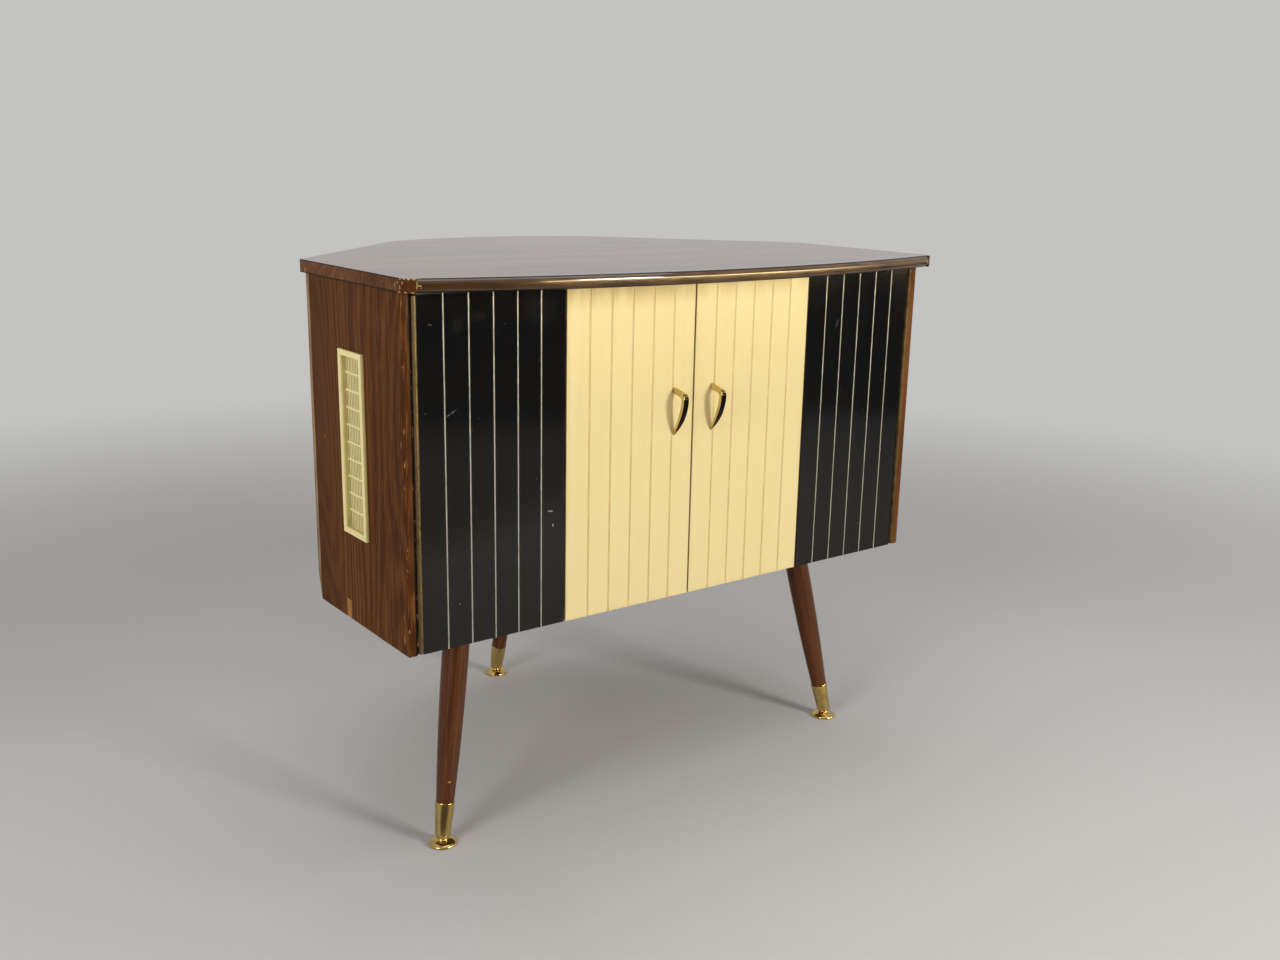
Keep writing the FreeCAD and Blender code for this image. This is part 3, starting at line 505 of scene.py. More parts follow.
@dataclass(frozen=True)
class LaminateFinish(Finish):
    """Glossy sheet on a leaf's front, with handling marks, dust, grime and, on the cream sheets, a painted
    shadow of the top's overhang.

    Attributes:
        base: The sheet's colour.
        cloud: The colour of its faint clouds and of grime.
        clouds: How strong the clouds are.
        mark: The colour of nicks, smudges, dust and wear, and of the shadow painted under the top on the
            cream sheets.
        dust: How strong the dust is.
        roughness: The gloss's roughness.
        box: The leaf's box.
        grime: How strong the grime along the leaf's edges is.
        rim: How strong the mark along the leaf's upper edge is: wear on the black sheets, a painted shadow of
            the top's overhang on the cream ones.
        rim_reach: How far down from the leaf's upper edge that mark fades out.
        nicks: The single marks.
    """

    base: Colour
    cloud: Colour
    clouds: float
    mark: Colour
    dust: float
    roughness: float
    box: Box
    grime: float
    rim: float
    rim_reach: float = 1.3 * MM
    nicks: tuple[Nick, ...] = ()

    def draw(self) -> Graph:
        """Draw the sheet.

        Returns:
            Its nodes.
        """
        graph = Graph(self.name)
        cloud = graph.noise((26.0, 26.0, 3.0), detail=4.0, roughness=0.6, warp=0.4)
        lines = graph.noise((420.0, 420.0, 9.0))
        grit = graph.noise((480.0, 480.0, 330.0), detail=3.0, roughness=0.7)
        smear = graph.noise((9.0, 9.0, 6.0))
        ripple = graph.noise((11.0, 11.0, 7.0), detail=1.0)
        edge = graph.fade(graph.arris(self.box), 7 * MM, 0.0)
        colour: Value = self.base
        for mask, share in ((graph.fade(cloud, 0.4, 0.7), self.clouds),
                            (graph.fade(lines, 0.45, 0.75), 0.6 * self.clouds),
                            (graph.times(edge, graph.fade(cloud, 0.3, 0.62)), self.grime)):
            colour = graph.mix(graph.times(mask, share), colour, self.cloud)
        marks = graph.times(graph.fade(graph.specks(45.0), 0.035, 0.015), self.dust)
        middle = (self.box[0][1] + self.box[1][1]) / 2
        for nick in self.nicks:
            mask = nick.mask(graph, middle)
            if nick.strength > SMUDGE:
                mask = graph.times(mask, graph.fade(grit, 0.38, 0.6))
            marks = graph.most(marks, graph.times(mask, nick.strength))
        # Along the upper edge: wear on the black sheets, a painted shadow of the top's overhang on the cream
        # ones.
        top = self.box[1][2] - 0.5 * MM
        lip = graph.fade(graph.along("z"), top - self.rim_reach, top)
        lip = graph.times(lip, graph.fade(cloud, 0.2, 0.6))
        colour = graph.mix(graph.times(lip, self.rim), colour, self.mark)
        colour = graph.mix(marks, colour, self.mark)
        rough = graph.plus(graph.plus(self.roughness, smear, 0.06), marks, 0.3, clamp=True)
        graph.surface(Base_Color=colour, Roughness=rough, IOR=1.5, Coat_Weight=0.15, Coat_Roughness=0.04)
        graph.bump(graph.plus(ripple, marks, -0.05), depth=0.45 * MM, strength=0.35)
        return graph


@dataclass(frozen=True)
class InlayFinish(Finish):
    """Painted line in a leaf's groove, dull where it has been rubbed.

    Attributes:
        bright: The paint's colour.
        dull: Its colour where it has been rubbed or is dirty.
        metal: How metallic the paint is.
    """

    bright: Colour
    dull: Colour
    metal: float

    def draw(self) -> Graph:
        """Draw the line.

        Returns:
            Its nodes.
        """
        graph = Graph(self.name)
        rub = graph.noise((30.0, 30.0, 26.0), detail=4.0, roughness=0.65)
        grit = graph.noise((700.0, 700.0, 240.0))
        worn = graph.fade(graph.plus(rub, grit, 0.25), 0.55, 0.78)
        graph.surface(Base_Color=graph.mix(worn, self.bright, self.dull), Metallic=self.metal,
                      Roughness=graph.plus(0.3, worn, 0.25))
        graph.bump(grit, depth=0.04 * MM, strength=0.5)
        return graph


# The warm blacks of the dark reflection painted on the handles' grips.
DARK_REFLECTION: tuple[Colour, Colour] = ((0.016, 0.012, 0.006), (0.03, 0.023, 0.012))


@dataclass(frozen=True)
class BrassFinish(Finish):
    """Polished brass with tarnish, hand marks and small pits.

    Attributes:
        bright: The polished metal's colour.
        tarnish: The colour of the tarnished metal.
        amount: How much of it is tarnished.
        roughness: The polish's roughness.
        enamel: The mesh attribute that marks where a dark reflection is painted over the metal, if it is
            anywhere.
    """

    bright: Colour
    tarnish: Colour
    amount: float
    roughness: float
    enamel: str | None = None

    def draw(self) -> Graph:
        """Draw the metal.

        Returns:
            Its nodes.
        """
        graph = Graph(self.name)
        cloud = graph.noise((70.0, 70.0, 50.0), detail=5.0, roughness=0.65, warp=0.6)
        rub = graph.noise((600.0, 600.0, 60.0))
        pit = graph.fade(graph.specks(420.0), 0.16, 0.05)
        dark = graph.times(graph.fade(cloud, 0.44, 0.68), self.amount)
        dark = graph.most(dark, graph.times(pit, 0.6 * self.amount))
        rough = graph.plus(graph.plus(self.roughness, dark, 0.22), rub, 0.06, clamp=True)
        colour = graph.mix(dark, self.bright, self.tarnish)
        # Paint a dark reflection over the faces that the attribute marks.
        if self.enamel is not None:
            painted = graph.add("ShaderNodeAttribute", attribute_name=self.enamel).outputs["Fac"]
            colour = graph.mix(painted, colour, graph.mix(cloud, *DARK_REFLECTION))
        graph.surface(Base_Color=colour, Metallic=1.0, Roughness=rough)
        graph.bump(graph.calc("SUBTRACT", rub, pit), depth=0.015 * MM, strength=0.4)
        return graph


PIN_HEAD: Colour = (0.03, 0.022, 0.01)


@dataclass(frozen=True)
class IvoryFinish(Finish):
    """Moulded ivory plastic that is yellowed and dusty, with painted shade on its recess walls and between
    its fins.

    Attributes:
        base: The plastic's colour.
        shade: Its colour where dust lies and where shade is painted on the recess walls.
        grime: The colour of the shade painted between the fins.
        face: The distance of the grille's face from the middle plane.
        depth: The depth of the recess before the fins.
        pin: The place of the dark fixing pin in the lower border, across and up.
    """

    base: Colour
    shade: Colour
    grime: Colour
    face: float
    depth: float
    pin: Point

    def draw(self) -> Graph:
        """Draw the plastic.

        Returns:
            Its nodes.
        """
        graph = Graph(self.name)
        dust = graph.noise((60.0, 60.0, 24.0), detail=4.0, roughness=0.6)
        grit = graph.noise((900.0, 900.0, 900.0), detail=1.0)
        inward = graph.calc("SUBTRACT", self.face, graph.calc("ABSOLUTE", graph.along("x")))
        # Painted shade on the recess walls, with dust all over.
        wall = graph.times(graph.fade(inward, 1.0 * MM, 3.0 * MM),
                           graph.fade(inward, self.depth - 0.2 * MM, self.depth - 0.5 * MM))
        wall = graph.plus(graph.times(wall, 0.8), graph.fade(dust, 0.48, 0.75), 0.22, clamp=True)
        # Painted shade between the fins, behind their front faces.
        between = graph.fade(inward, self.depth + 0.4 * MM, self.depth + 1.6 * MM)
        pin = graph.spot((0.0, *self.pin), (1.0, 1.3 * MM, 0.9 * MM))
        colour: Value = self.base
        for mask, tint in ((wall, self.shade), (between, self.grime), (pin, PIN_HEAD)):
            colour = graph.mix(mask, colour, tint)
        graph.surface(Base_Color=colour, IOR=1.49, Roughness=graph.plus(0.28, dust, 0.2))
        graph.bump(grit, depth=0.03 * MM, strength=0.4)
        return graph


@dataclass(frozen=True)
class SteelFinish(Finish):
    """Zinc-plated steel with a fine crystal bloom.

    Attributes:
        base: The plating's colour.
        bloom: The colour of its dull crystals.
    """

    base: Colour
    bloom: Colour

    def draw(self) -> Graph:
        """Draw the plating.

        Returns:
            Its nodes.
        """
        graph = Graph(self.name)
        crystal = graph.specks(260.0)
        cloud = graph.noise((40.0, 40.0, 40.0), detail=3.0)
        graph.surface(Base_Color=graph.mix(graph.times(crystal, 0.8), self.base, self.bloom),
                      Metallic=1.0, Roughness=graph.plus(0.22, cloud, 0.3))
        graph.bump(crystal, depth=0.02 * MM, strength=0.4)
        return graph


def metres(*sizes: float) -> Point:
    """Return millimetres as metres."""
    return tuple(size * MM for size in sizes)


def block(low: Sequence[float], high: Sequence[float]) -> Box:
    """Return a box, or a mark's middle and reach, given in millimetres."""
    return metres(*low), metres(*high)


def corners(node: str) -> Box:
    """Return a CAD node's lowest and highest corners as plain numbers."""
    low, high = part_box(node)
    return tuple(low), tuple(high)


WALNUT = {"dark": (0.063, 0.0195, 0.0046), "mid": (0.108, 0.0355, 0.0085), "light": (0.18, 0.069, 0.02)}
PLAIN_WOOD = {"dark": (0.13, 0.072, 0.034), "mid": (0.25, 0.15, 0.077), "light": (0.37, 0.245, 0.138)}
NOTCH = block((-430, -77, 290), (-400, -64.5, 325))
HEEL = block((-430, 19, 290), (-400, 40, 339))
# The painted shadow of the hinge barrel on the left panel's front edge.
HINGE_SHADOW = block((-414.4, -240, 290), (-400, -222, 740))
SIDE_CHIPS = (
    block((-423.5, -228.5, 557.5), (5, 1.2, 6)), block((-423.5, -225.0, 319.5), (5, 1.6, 9)),
    block((-423.5, -225.5, 346.9), (5, 0.9, 7)), block((-423.5, -13.3, 527.7), (5, 1.5, 3)))
BLACK_NICKS = {
    Side.LEFT: (
        Nick(-362, 589, 1.3, 9, 62, 0.3), Nick(-225.5, 450.5, 5, 1.3, 8, 0.9),
        Nick(-221.3, 432, 1.1, 3.2, 0, 0.8), Nick(-354.7, 354, 1.0, 1.0, 0, 0.9),
        Nick(-352, 690, 9, 14, 30, 0.012), Nick(-325, 699, 14, 8, 0, 0.012),
        Nick(-239, 702, 30, 22, 15, 0.012), Nick(-388, 693, 4, 1.2, 0, 0.2)),
    Side.RIGHT: (
        Nick(371, 581, 1.3, 1.6, 0, 0.9), Nick(332, 346, 1.2, 1.5, 0, 0.6), Nick(262, 655, 3, 9, 20, 0.06))}
# Chips of bare wood along the top's left arrises and seam; their pale colour also paints the glints of the
# worn arrises.
TOP_CHIPS_AND_GLINTS = (
    block((-429.2, -248.0, 747.2), (2.0, 3.0, 0.9)), block((-427.6, -254.0, 747.4), (2.2, 2.0, 0.8)),
    block((-424.2, -258.8, 747.3), (2.0, 2.2, 0.9)), block((-419.6, -262.2, 747.3), (3.0, 1.5, 0.9)),
    block((-429.5, -242.0, 743.0), (2.0, 1.5, 2.0)), block((-429.3, -247.5, 738.0), (2.0, 1.2, 3.0)),
    block((-428.6, -251.5, 743.0), (2.0, 0.9, 2.5)), block((-429.5, -236.0, 740.0), (2.0, 1.0, 3.5)),
    block((-429.4, -246.0, 732.8), (2.0, 4.0, 0.9)), block((-426.8, -255.5, 733.0), (2.0, 2.5, 0.9)),
    block((-421.0, -261.4, 732.8), (3.0, 2.0, 0.8)), block((-416.6, -263.4, 741.0), (0.7, 2.0, 6.5)),
    block((-429.5, 12.0, 736.0), (2.0, 1.2, 3.5)))
# On the top's left edge: a painted shadow line along its lower arris over the side panel, and a dark line
# along its upper arris.
TOP_LINES = (
    block((-440, -250, 730), (-428.3, 50, 733.3)), block((-440, -250, 746.9), (-428.3, 50, 750)))
# On the lipping's front: a painted shadow line along its lower edge, and a dark line along its upper edge.
LIPPING_LINES = (
    block((-1000, -1000, 730), (1000, 8, 734)), block((-1000, -1000, 746.8), (1000, 6, 750)))
# The top darkens towards its front: painted shade at its brightly lit front corners.
TOP_WOOD = WoodFinish(
    "walnut_top", "walnut", grain=Grain.ALONG_FRONT, roughness=0.34, coat=1.0, coat_ior=1.66,
    gloss_above=747 * MM, shine=0.06, darker_along=("y", -0.236, -0.254), chips=TOP_CHIPS_AND_GLINTS, raw=(0.62, 0.40, 0.16),
    dark_bands=TOP_LINES, **WALNUT)
RAIL_WOOD = WoodFinish("walnut_rail", "walnut", grain=Grain.ALONG_FRONT, **WALNUT)
# The lipping darkens towards its left end.
LIPPING_WOOD = WoodFinish(
    "walnut_lipping", "walnut_solid", dark=(0.037, 0.0148, 0.004), mid=(0.077, 0.033, 0.0085),
    light=(0.138, 0.066, 0.019), grain=Grain.ALONG_FRONT, roughness=0.3, coat=1.0, coat_roughness=0.09,
    coat_ior=1.65, shine=0.08, attribute="lipping_place", box=block((-417.2, 0, 732), (417.2, 22, 748)),
    wear=2.2 * MM, raw=(0.55, 0.34, 0.13), darker_along=("x", -0.25, -0.31), dark_bands=LIPPING_LINES)
PLY = WoodFinish("stained_plywood", "plywood", grain=Grain.UPRIGHT, roughness=0.6, **PLAIN_WOOD)
LEAF_CORE = WoodFinish(
    "leaf_blockboard", "leaf_core", dark=(0.06, 0.028, 0.013), mid=(0.13, 0.065, 0.03),
    light=(0.22, 0.125, 0.06), grain=Grain.UPRIGHT, roughness=0.5)
CREAM_CORE = replace(LEAF_CORE, name="cream_leaf_blockboard", dark=(0.33, 0.225, 0.09),
                     mid=(0.46, 0.33, 0.14), light=(0.56, 0.42, 0.19))
LEG_WOOD = WoodFinish(
    "leg_beech", "leg_lacquer", dark=(0.060, 0.0165, 0.0042), mid=(0.090, 0.0265, 0.0068),
    light=(0.126, 0.042, 0.0115), grain=Grain.UPRIGHT, roughness=0.3, coat=0.2, coat_roughness=0.2,
    shine=0.15, figure=0.02, attribute="leg_place")
CHIPPED_LEG = replace(LEG_WOOD, name="leg_beech_chipped", chips=(block((10.4, 8.2, 75), (3, 3, 1.7)),))
BRASS = BrassFinish("polished_brass", "brass", bright=(0.60, 0.43, 0.15), tarnish=(0.24, 0.15, 0.05),
                    amount=0.6, roughness=0.08)
# The handles' brass, with a dark reflection painted on the front of their grips.
HANDLE_BRASS = BrassFinish("handle_brass", "brass", bright=(0.64, 0.50, 0.22), tarnish=(0.30, 0.21, 0.08),
                           amount=0.5, roughness=0.08, enamel="black_front")
HINGE_BRASS = BrassFinish("hinge_brass", "brass", bright=(0.175, 0.122, 0.058), tarnish=(0.09, 0.056, 0.026),
                          amount=0.85, roughness=0.48)
# A darker copy of the hinge brass for the right door's plates: painted shade that dims their highlight.
SHADED_HINGE_BRASS = replace(HINGE_BRASS, name="dull_hinge_brass", bright=(0.105, 0.07, 0.031),
                     tarnish=(0.055, 0.033, 0.014))
STEEL = SteelFinish("zinc_steel", "steel", base=(0.62, 0.62, 0.60), bloom=(0.42, 0.42, 0.41))
BLACK_LINE = InlayFinish("pale_gold_line", "pale_gold", bright=(0.38, 0.36, 0.29), dull=(0.24, 0.22, 0.165),
                         metal=0.15)
CREAM_LINE = InlayFinish("ochre_line", "ochre", bright=(0.62, 0.44, 0.165), dull=(0.70, 0.53, 0.24),
                         metal=0.05)


def side_wood(side: Side) -> WoodFinish:
    """Return a side panel's finish, whose marks are on the left panel alone.

    Args:
        side: Which panel it is.

    Returns:
        The finish.
    """
    # The panels darken towards the rear: painted shade.
    finish = WoodFinish(f"walnut_side_{side.word}", "walnut", grain=Grain.UPRIGHT, darker_along=("y", -0.12, 0.02),
                        figure=0.06, **WALNUT)
    if side is Side.RIGHT:
        return finish
    return replace(finish, box=corners("side_panel_left"), patches=(NOTCH, HEEL), chips=SIDE_CHIPS,
                   dark_bands=(HINGE_SHADOW,))


def black_sheet(side: Side) -> LaminateFinish:
    """Return an outer leaf's black finish."""
    return LaminateFinish(
        f"black_sheet_{side.word}", "black_gloss", base=(0.004, 0.0039, 0.0042), cloud=(0.0072, 0.007, 0.007),
        clouds=0.5, mark=(0.40, 0.40, 0.385), dust=0.35, roughness=0.035, grime=0.4,
        box=corners(f"outer_leaf_facing_{side.word}"), rim=0.5 if side is Side.LEFT else 0.15,
        nicks=BLACK_NICKS[side])


def cream_sheet(side: Side) -> LaminateFinish:
    """Return an inner leaf's cream finish."""
    return LaminateFinish(
        f"cream_sheet_{side.word}", "cream_gloss", base=(0.84, 0.685, 0.325), cloud=(0.755, 0.575, 0.25),
        clouds=0.18, mark=(0.54, 0.38, 0.14), dust=0.2, roughness=0.2, grime=0.5,
        # The rim is a painted shadow of the top's overhang, stronger on the left door.
        box=corners(f"inner_leaf_facing_{side.word}"), rim=1.0 if side is Side.LEFT else 0.55,
        rim_reach=38 * MM)


def ivory(side: Side) -> IvoryFinish:
    """Return a grille's finish."""
    low, high = corners(f"vent_grille_{side.word}")
    return IvoryFinish(
        f"ivory_{side.word}", "ivory", base=(0.93, 0.80, 0.375), shade=(0.56, 0.44, 0.155),
        grime=(0.36, 0.30, 0.12), face=max(abs(low[0]), abs(high[0])), depth=6.5 * MM,
        pin=metres(-102.8, 421.5))


class Part(Enum):
    """What a selection picks."""

    VERTS = "VERT"
    EDGES = "EDGE"
    FACES = "FACE"


def leave() -> None:
    """Leave edit mode."""
    bpy.ops.object.mode_set(mode="OBJECT")


def deselect() -> None:
    """Leave nothing selected."""
    if bpy.context.object is not None and bpy.context.object.mode != "OBJECT":
        leave()
    bpy.ops.object.select_all(action="DESELECT")


def hold(piece: Piece) -> None:
    """Make a piece the only selected one, and the active one.

    Args:
        piece: The piece.
    """
    deselect()
    piece.select_set(True)
    bpy.context.view_layer.objects.active = piece


def keep_place() -> None:
    """Keep the active piece's place, turn and scale in its mesh."""
    bpy.ops.object.transform_apply(location=True, rotation=True, scale=True)


def stand(piece: Piece, place: Matrix) -> None:
    """Move a piece to its place and keep that place in its mesh.

    Args:
        piece: The piece.
        place: Its place.
    """
    hold(piece)
    piece.matrix_world = place
    keep_place()


def named(name: str) -> Piece:
    """Give the primitive that was added last its name, and return it."""
    bpy.context.object.name = name
    return bpy.context.object


def pick(piece: Piece, part: Part, test: Test) -> int:
    """Go into edit mode and select by place.

    Args:
        piece: The piece to edit.
        part: What to select.
        test: Picks an element by its middle and by a face's or corner's normal or an edge's way.

    Returns:
        How many elements were picked.
    """
    hold(piece)
    bpy.ops.object.mode_set(mode="EDIT")
    bpy.ops.mesh.select_mode(type=part.value)
    bpy.ops.mesh.select_all(action="DESELECT")
    mesh = bmesh.from_edit_mesh(piece.data)
    if part is Part.VERTS:
        found = [(vert, vert.co, vert.normal) for vert in mesh.verts]
    elif part is Part.EDGES:
        ends = [(edge, edge.verts[0].co, edge.verts[1].co) for edge in mesh.edges
                if edge.calc_face_angle(0.0) > SHARP]
        found = [(edge, (start + end) / 2, (end - start).normalized()) for edge, start, end in ends]
    else:
        found = [(face, face.calc_center_median(), face.normal) for face in mesh.faces]
    picked = [element for element, middle, way in found if test(middle, way)]
    for element in picked:
        element.select_set(True)
    mesh.select_flush_mode()
    bmesh.update_edit_mesh(piece.data)
    return len(picked)


def ease(piece: Piece, test: Test, radius: float, steps: int = 3) -> None:
    """Round the sharp edges that a test picks by their middle and way.

    Args:
        piece: The piece to edit.
        test: Picks the edges.
        radius: The rounding's radius.
        steps: How many facets the rounding has.
    """
    if pick(piece, Part.EDGES, test):
        bpy.ops.mesh.bevel(offset=radius, segments=steps, affect="EDGES", clamp_overlap=True)
    leave()


def cut(piece: Piece, point: Sequence[float], outward: Sequence[float]) -> None:
    """Cut a piece on a plane, drop what lies outside and close the cut.

    Args:
        piece: The piece.
        point: A point of the plane.
        outward: The plane's normal, one long.
    """
    pick(piece, Part.FACES, lambda middle, normal: True)
    bpy.ops.mesh.bisect(plane_co=point, plane_no=outward, use_fill=True, clear_outer=True)
    leave()


def apply(piece: Piece, kind: str, **settings: object) -> None:
    """Add a modifier to a piece and apply it.

    Args:
        piece: The piece.
        kind: The modifier's type.
        **settings: Its properties.
    """
    hold(piece)
    modifier = piece.modifiers.new(kind.title(), kind)
    for name, value in settings.items():
        setattr(modifier, name, value)
    bpy.ops.object.modifier_apply(modifier=modifier.name)


def smooth(piece: Piece, angle: float = 38.0) -> None:
    """Shade a piece smooth but for its sharp edges, with its broad faces left flat.

    Args:
        piece: The piece.
        angle: The sharpest edge that is shaded smooth, in degrees.
    """
    hold(piece)
    bpy.ops.object.shade_smooth_by_angle(angle=math.radians(angle))
    apply(piece, "WEIGHTED_NORMAL", mode="FACE_AREA", weight=50, keep_sharp=True)


def mould(piece: Piece, radius: float) -> None:
    """Round all of a piece's edges and shade it smooth."""
    apply(piece, "BEVEL", width=radius, segments=2, limit_method="ANGLE", angle_limit=MOULDED)
    smooth(piece)


def traced(node: str, name: str, flat: float = 0.4) -> Piece:
    """Trace a CAD node as a new piece, with its triangles merged into whole faces.

    Args:
        node: The CAD node.
        name: The new piece's name.
        flat: The greatest turn between triangles that are merged, in degrees.

    Returns:
        The piece.
    """
    deselect()
    piece = bpy.data.objects.new(name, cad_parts[node].data.copy())
    bpy.context.scene.collection.objects.link(piece)
    hold(piece)
    bpy.ops.object.mode_set(mode="EDIT")
    bpy.ops.mesh.select_all(action="SELECT")
    bpy.ops.mesh.customdata_custom_splitnormals_clear()
    bpy.ops.mesh.remove_doubles(threshold=MERGE)
    bpy.ops.mesh.dissolve_limited(angle_limit=math.radians(flat))
    leave()
    return piece


def turned(name: str, stations: Sequence[tuple[float, float]], sides: int = 64) -> Piece:
    """Turn a closed piece about the upright axis, by extruding a disc through its stations.

    Args:
        name: The piece's name.
        stations: Radius and height of each ring, in order along the surface.
        sides: How many sides each ring has.

    Returns:
        The piece.
    """
    deselect()
    radius, height = stations[0]
    bpy.ops.mesh.primitive_circle_add(vertices=sides, radius=radius, fill_type="NGON")
    piece = named(name)
    bpy.ops.object.mode_set(mode="EDIT")
    bpy.ops.mesh.select_all(action="SELECT")
    bpy.ops.transform.translate(value=(0, 0, height))
    for next_radius, next_height in stations[1:]:
        bpy.ops.mesh.extrude_region_move(TRANSFORM_OT_translate={"value": (0, 0, next_height - height)})
        share = next_radius / radius
        bpy.ops.transform.resize(value=(share, share, 1), center_override=(0, 0, next_height))
        radius, height = next_radius, next_height
    bpy.ops.mesh.select_all(action="SELECT")
    bpy.ops.mesh.normals_make_consistent(inside=False)
    leave()
    return piece


def rings(offsets: Sequence[tuple[float, float]], radius: float = 0.0, height: float = 0.0
          ) -> list[tuple[float, float]]:
    """Return stations from millimetres that are counted from a radius and a height in metres."""
    return [(radius + outward * MM, height + upward * MM) for outward, upward in offsets]


def joined(name: str, pieces: Sequence[Piece]) -> Piece:
    """Join copies into one piece.

    Args:
        name: The joined piece's name.
        pieces: The copies, each with its own mesh.

    Returns:
        The joined piece.
    """
    hold(pieces[0])
    for piece in pieces[1:]:
        piece.select_set(True)
    bpy.ops.object.join()
    return named(name)


def lay_grain(piece: Piece, attribute: str, place: Callable[[Vector], Sequence[float]]) -> None:
    """Give each corner of a piece its place in the grain.

    Args:
        piece: The piece.
        attribute: The mesh attribute that holds the places.
        place: Takes a corner's own place and returns its place in the grain.
    """
    spots = piece.data.attributes.new(attribute, "FLOAT_VECTOR", "POINT")
    for corner, spot in zip(piece.data.vertices, spots.data):
        spot.vector = place(corner.co)


def settle(piece: Piece, finish: Finish, body: str, *nodes: str) -> None:
    """Give a piece its finish and its body, and let it stand for CAD nodes.

    Args:
        piece: The finished mesh.
        finish: Its finish.
        body: The CAD body that it moves with.
        *nodes: The CAD nodes that it stands for.
    """
    piece.data.materials.clear()
    piece.data.materials.append(finish.material())
    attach(piece, body)
    if nodes:
        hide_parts(*nodes)
    LOG.info("%s: %d faces, %s", piece.name, len(piece.data.polygons), finish.name)


def dress(finish: Finish, *nodes: str) -> None:
    """Give CAD nodes that keep their own shape a finish.

    Args:
        finish: The finish.
        *nodes: The CAD nodes.
    """
    for node in nodes:
        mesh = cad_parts[node].data
        mesh.materials.clear()
        mesh.materials.append(finish.material())
        LOG.info("%s keeps its shape, %s", node, finish.name)


@dataclass
class CabinetTop:
    """The top board and the bullnosed lipping on its bowed front.

    Attributes:
        bow_radius: The radius of the bowed front.
        lipping_depth: The lipping's depth.
        lipping_round: The radius of the lipping's arrises.
        half_sweep: Half the lipping's sweep, in degrees.
        arris: The rounding of the board's other edges.
        joint_room: How far behind the lipping an edge still counts as its joint.
        sweep_room: How far past the lipping's end an edge still counts as its joint, in degrees.
    """

    bow_radius: float = 1567.252 * MM
    lipping_depth: float = 22 * MM
    lipping_round: float = 6 * MM
    half_sweep: float = 15.402
    arris: float = 1.0 * MM
    joint_room: float = 0.6 * MM
    sweep_room: float = 0.1

    def build(self) -> None:
        """Model the board and its lipping."""
        low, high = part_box("top_front_lipping")
        self.centre = Vector((0, low.y + self.bow_radius, 0))
        self.board = traced("top_board", "top_board_eased", 0.02)
        ease(self.board, self.is_outer, self.arris)
        smooth(self.board)
        self.lipping = self.spun(low, high)
        lay_grain(self.lipping, "lipping_place", self.unrolled)
        smooth(self.lipping)

    def unrolled(self, point: Vector) -> Point:
        """Return a point's place along the bow, in from its front, and its height."""
        angle = math.atan2(point.x, self.centre.y - point.y)
        return angle * self.bow_radius, self.bow_radius - (point - self.centre).xy.length, point.z

    def is_outer(self, middle: Vector, way: Vector) -> bool:
        """Return whether an edge of the board is a level one away from the lipping.

        Args:
            middle: The edge's middle.
            way: The way that it runs.

        Returns:
            Whether it is.
        """
        along, inward, _ = self.unrolled(middle)
        swept = abs(math.degrees(along / self.bow_radius)) < self.half_sweep + self.sweep_room
        return abs(way.z) < LEVEL and not (swept and inward < self.lipping_depth + self.joint_room)

    def spun(self, low: Vector, high: Vector) -> Piece:
        """Round the lipping's section and spin it along the bow.

        Args:
            low: The lowest corner of the lipping's box.
            high: Its highest corner.

        Returns:
            The lipping.
        """
        deselect()
        middle = (0, low.y + self.lipping_depth / 2, (low.z + high.z) / 2)
        bpy.ops.mesh.primitive_plane_add(size=1, location=middle, rotation=(0, math.radians(90), 0))
        lipping = named("top_lipping_bullnose")
        lipping.scale = (high.z - low.z, self.lipping_depth, 1)
        keep_place()
        pick(lipping, Part.VERTS, lambda corner, normal: corner.y < low.y + MM)
        bpy.ops.mesh.bevel(offset=self.lipping_round, segments=10, affect="VERTICES")
        bpy.ops.mesh.select_all(action="SELECT")
        sweep = math.radians(2 * self.half_sweep)
        bpy.ops.mesh.spin(steps=160, angle=sweep, center=self.centre, axis=(0, 0, 1))
        bpy.ops.mesh.select_all(action="SELECT")
        bpy.ops.mesh.remove_doubles(threshold=MERGE)
        bpy.ops.mesh.normals_make_consistent(inside=False)
        leave()
        turn = Matrix.Rotation(math.radians(self.half_sweep), 4, "Z")
        stand(lipping, Matrix.Translation(self.centre) @ turn @ Matrix.Translation(-self.centre))
        return lipping

    def dress(self) -> None:
        """Give the top its finishes."""
        settle(self.board, TOP_WOOD, "carcass", "top_board")
        settle(self.lipping, LIPPING_WOOD, "carcass", "top_front_lipping")


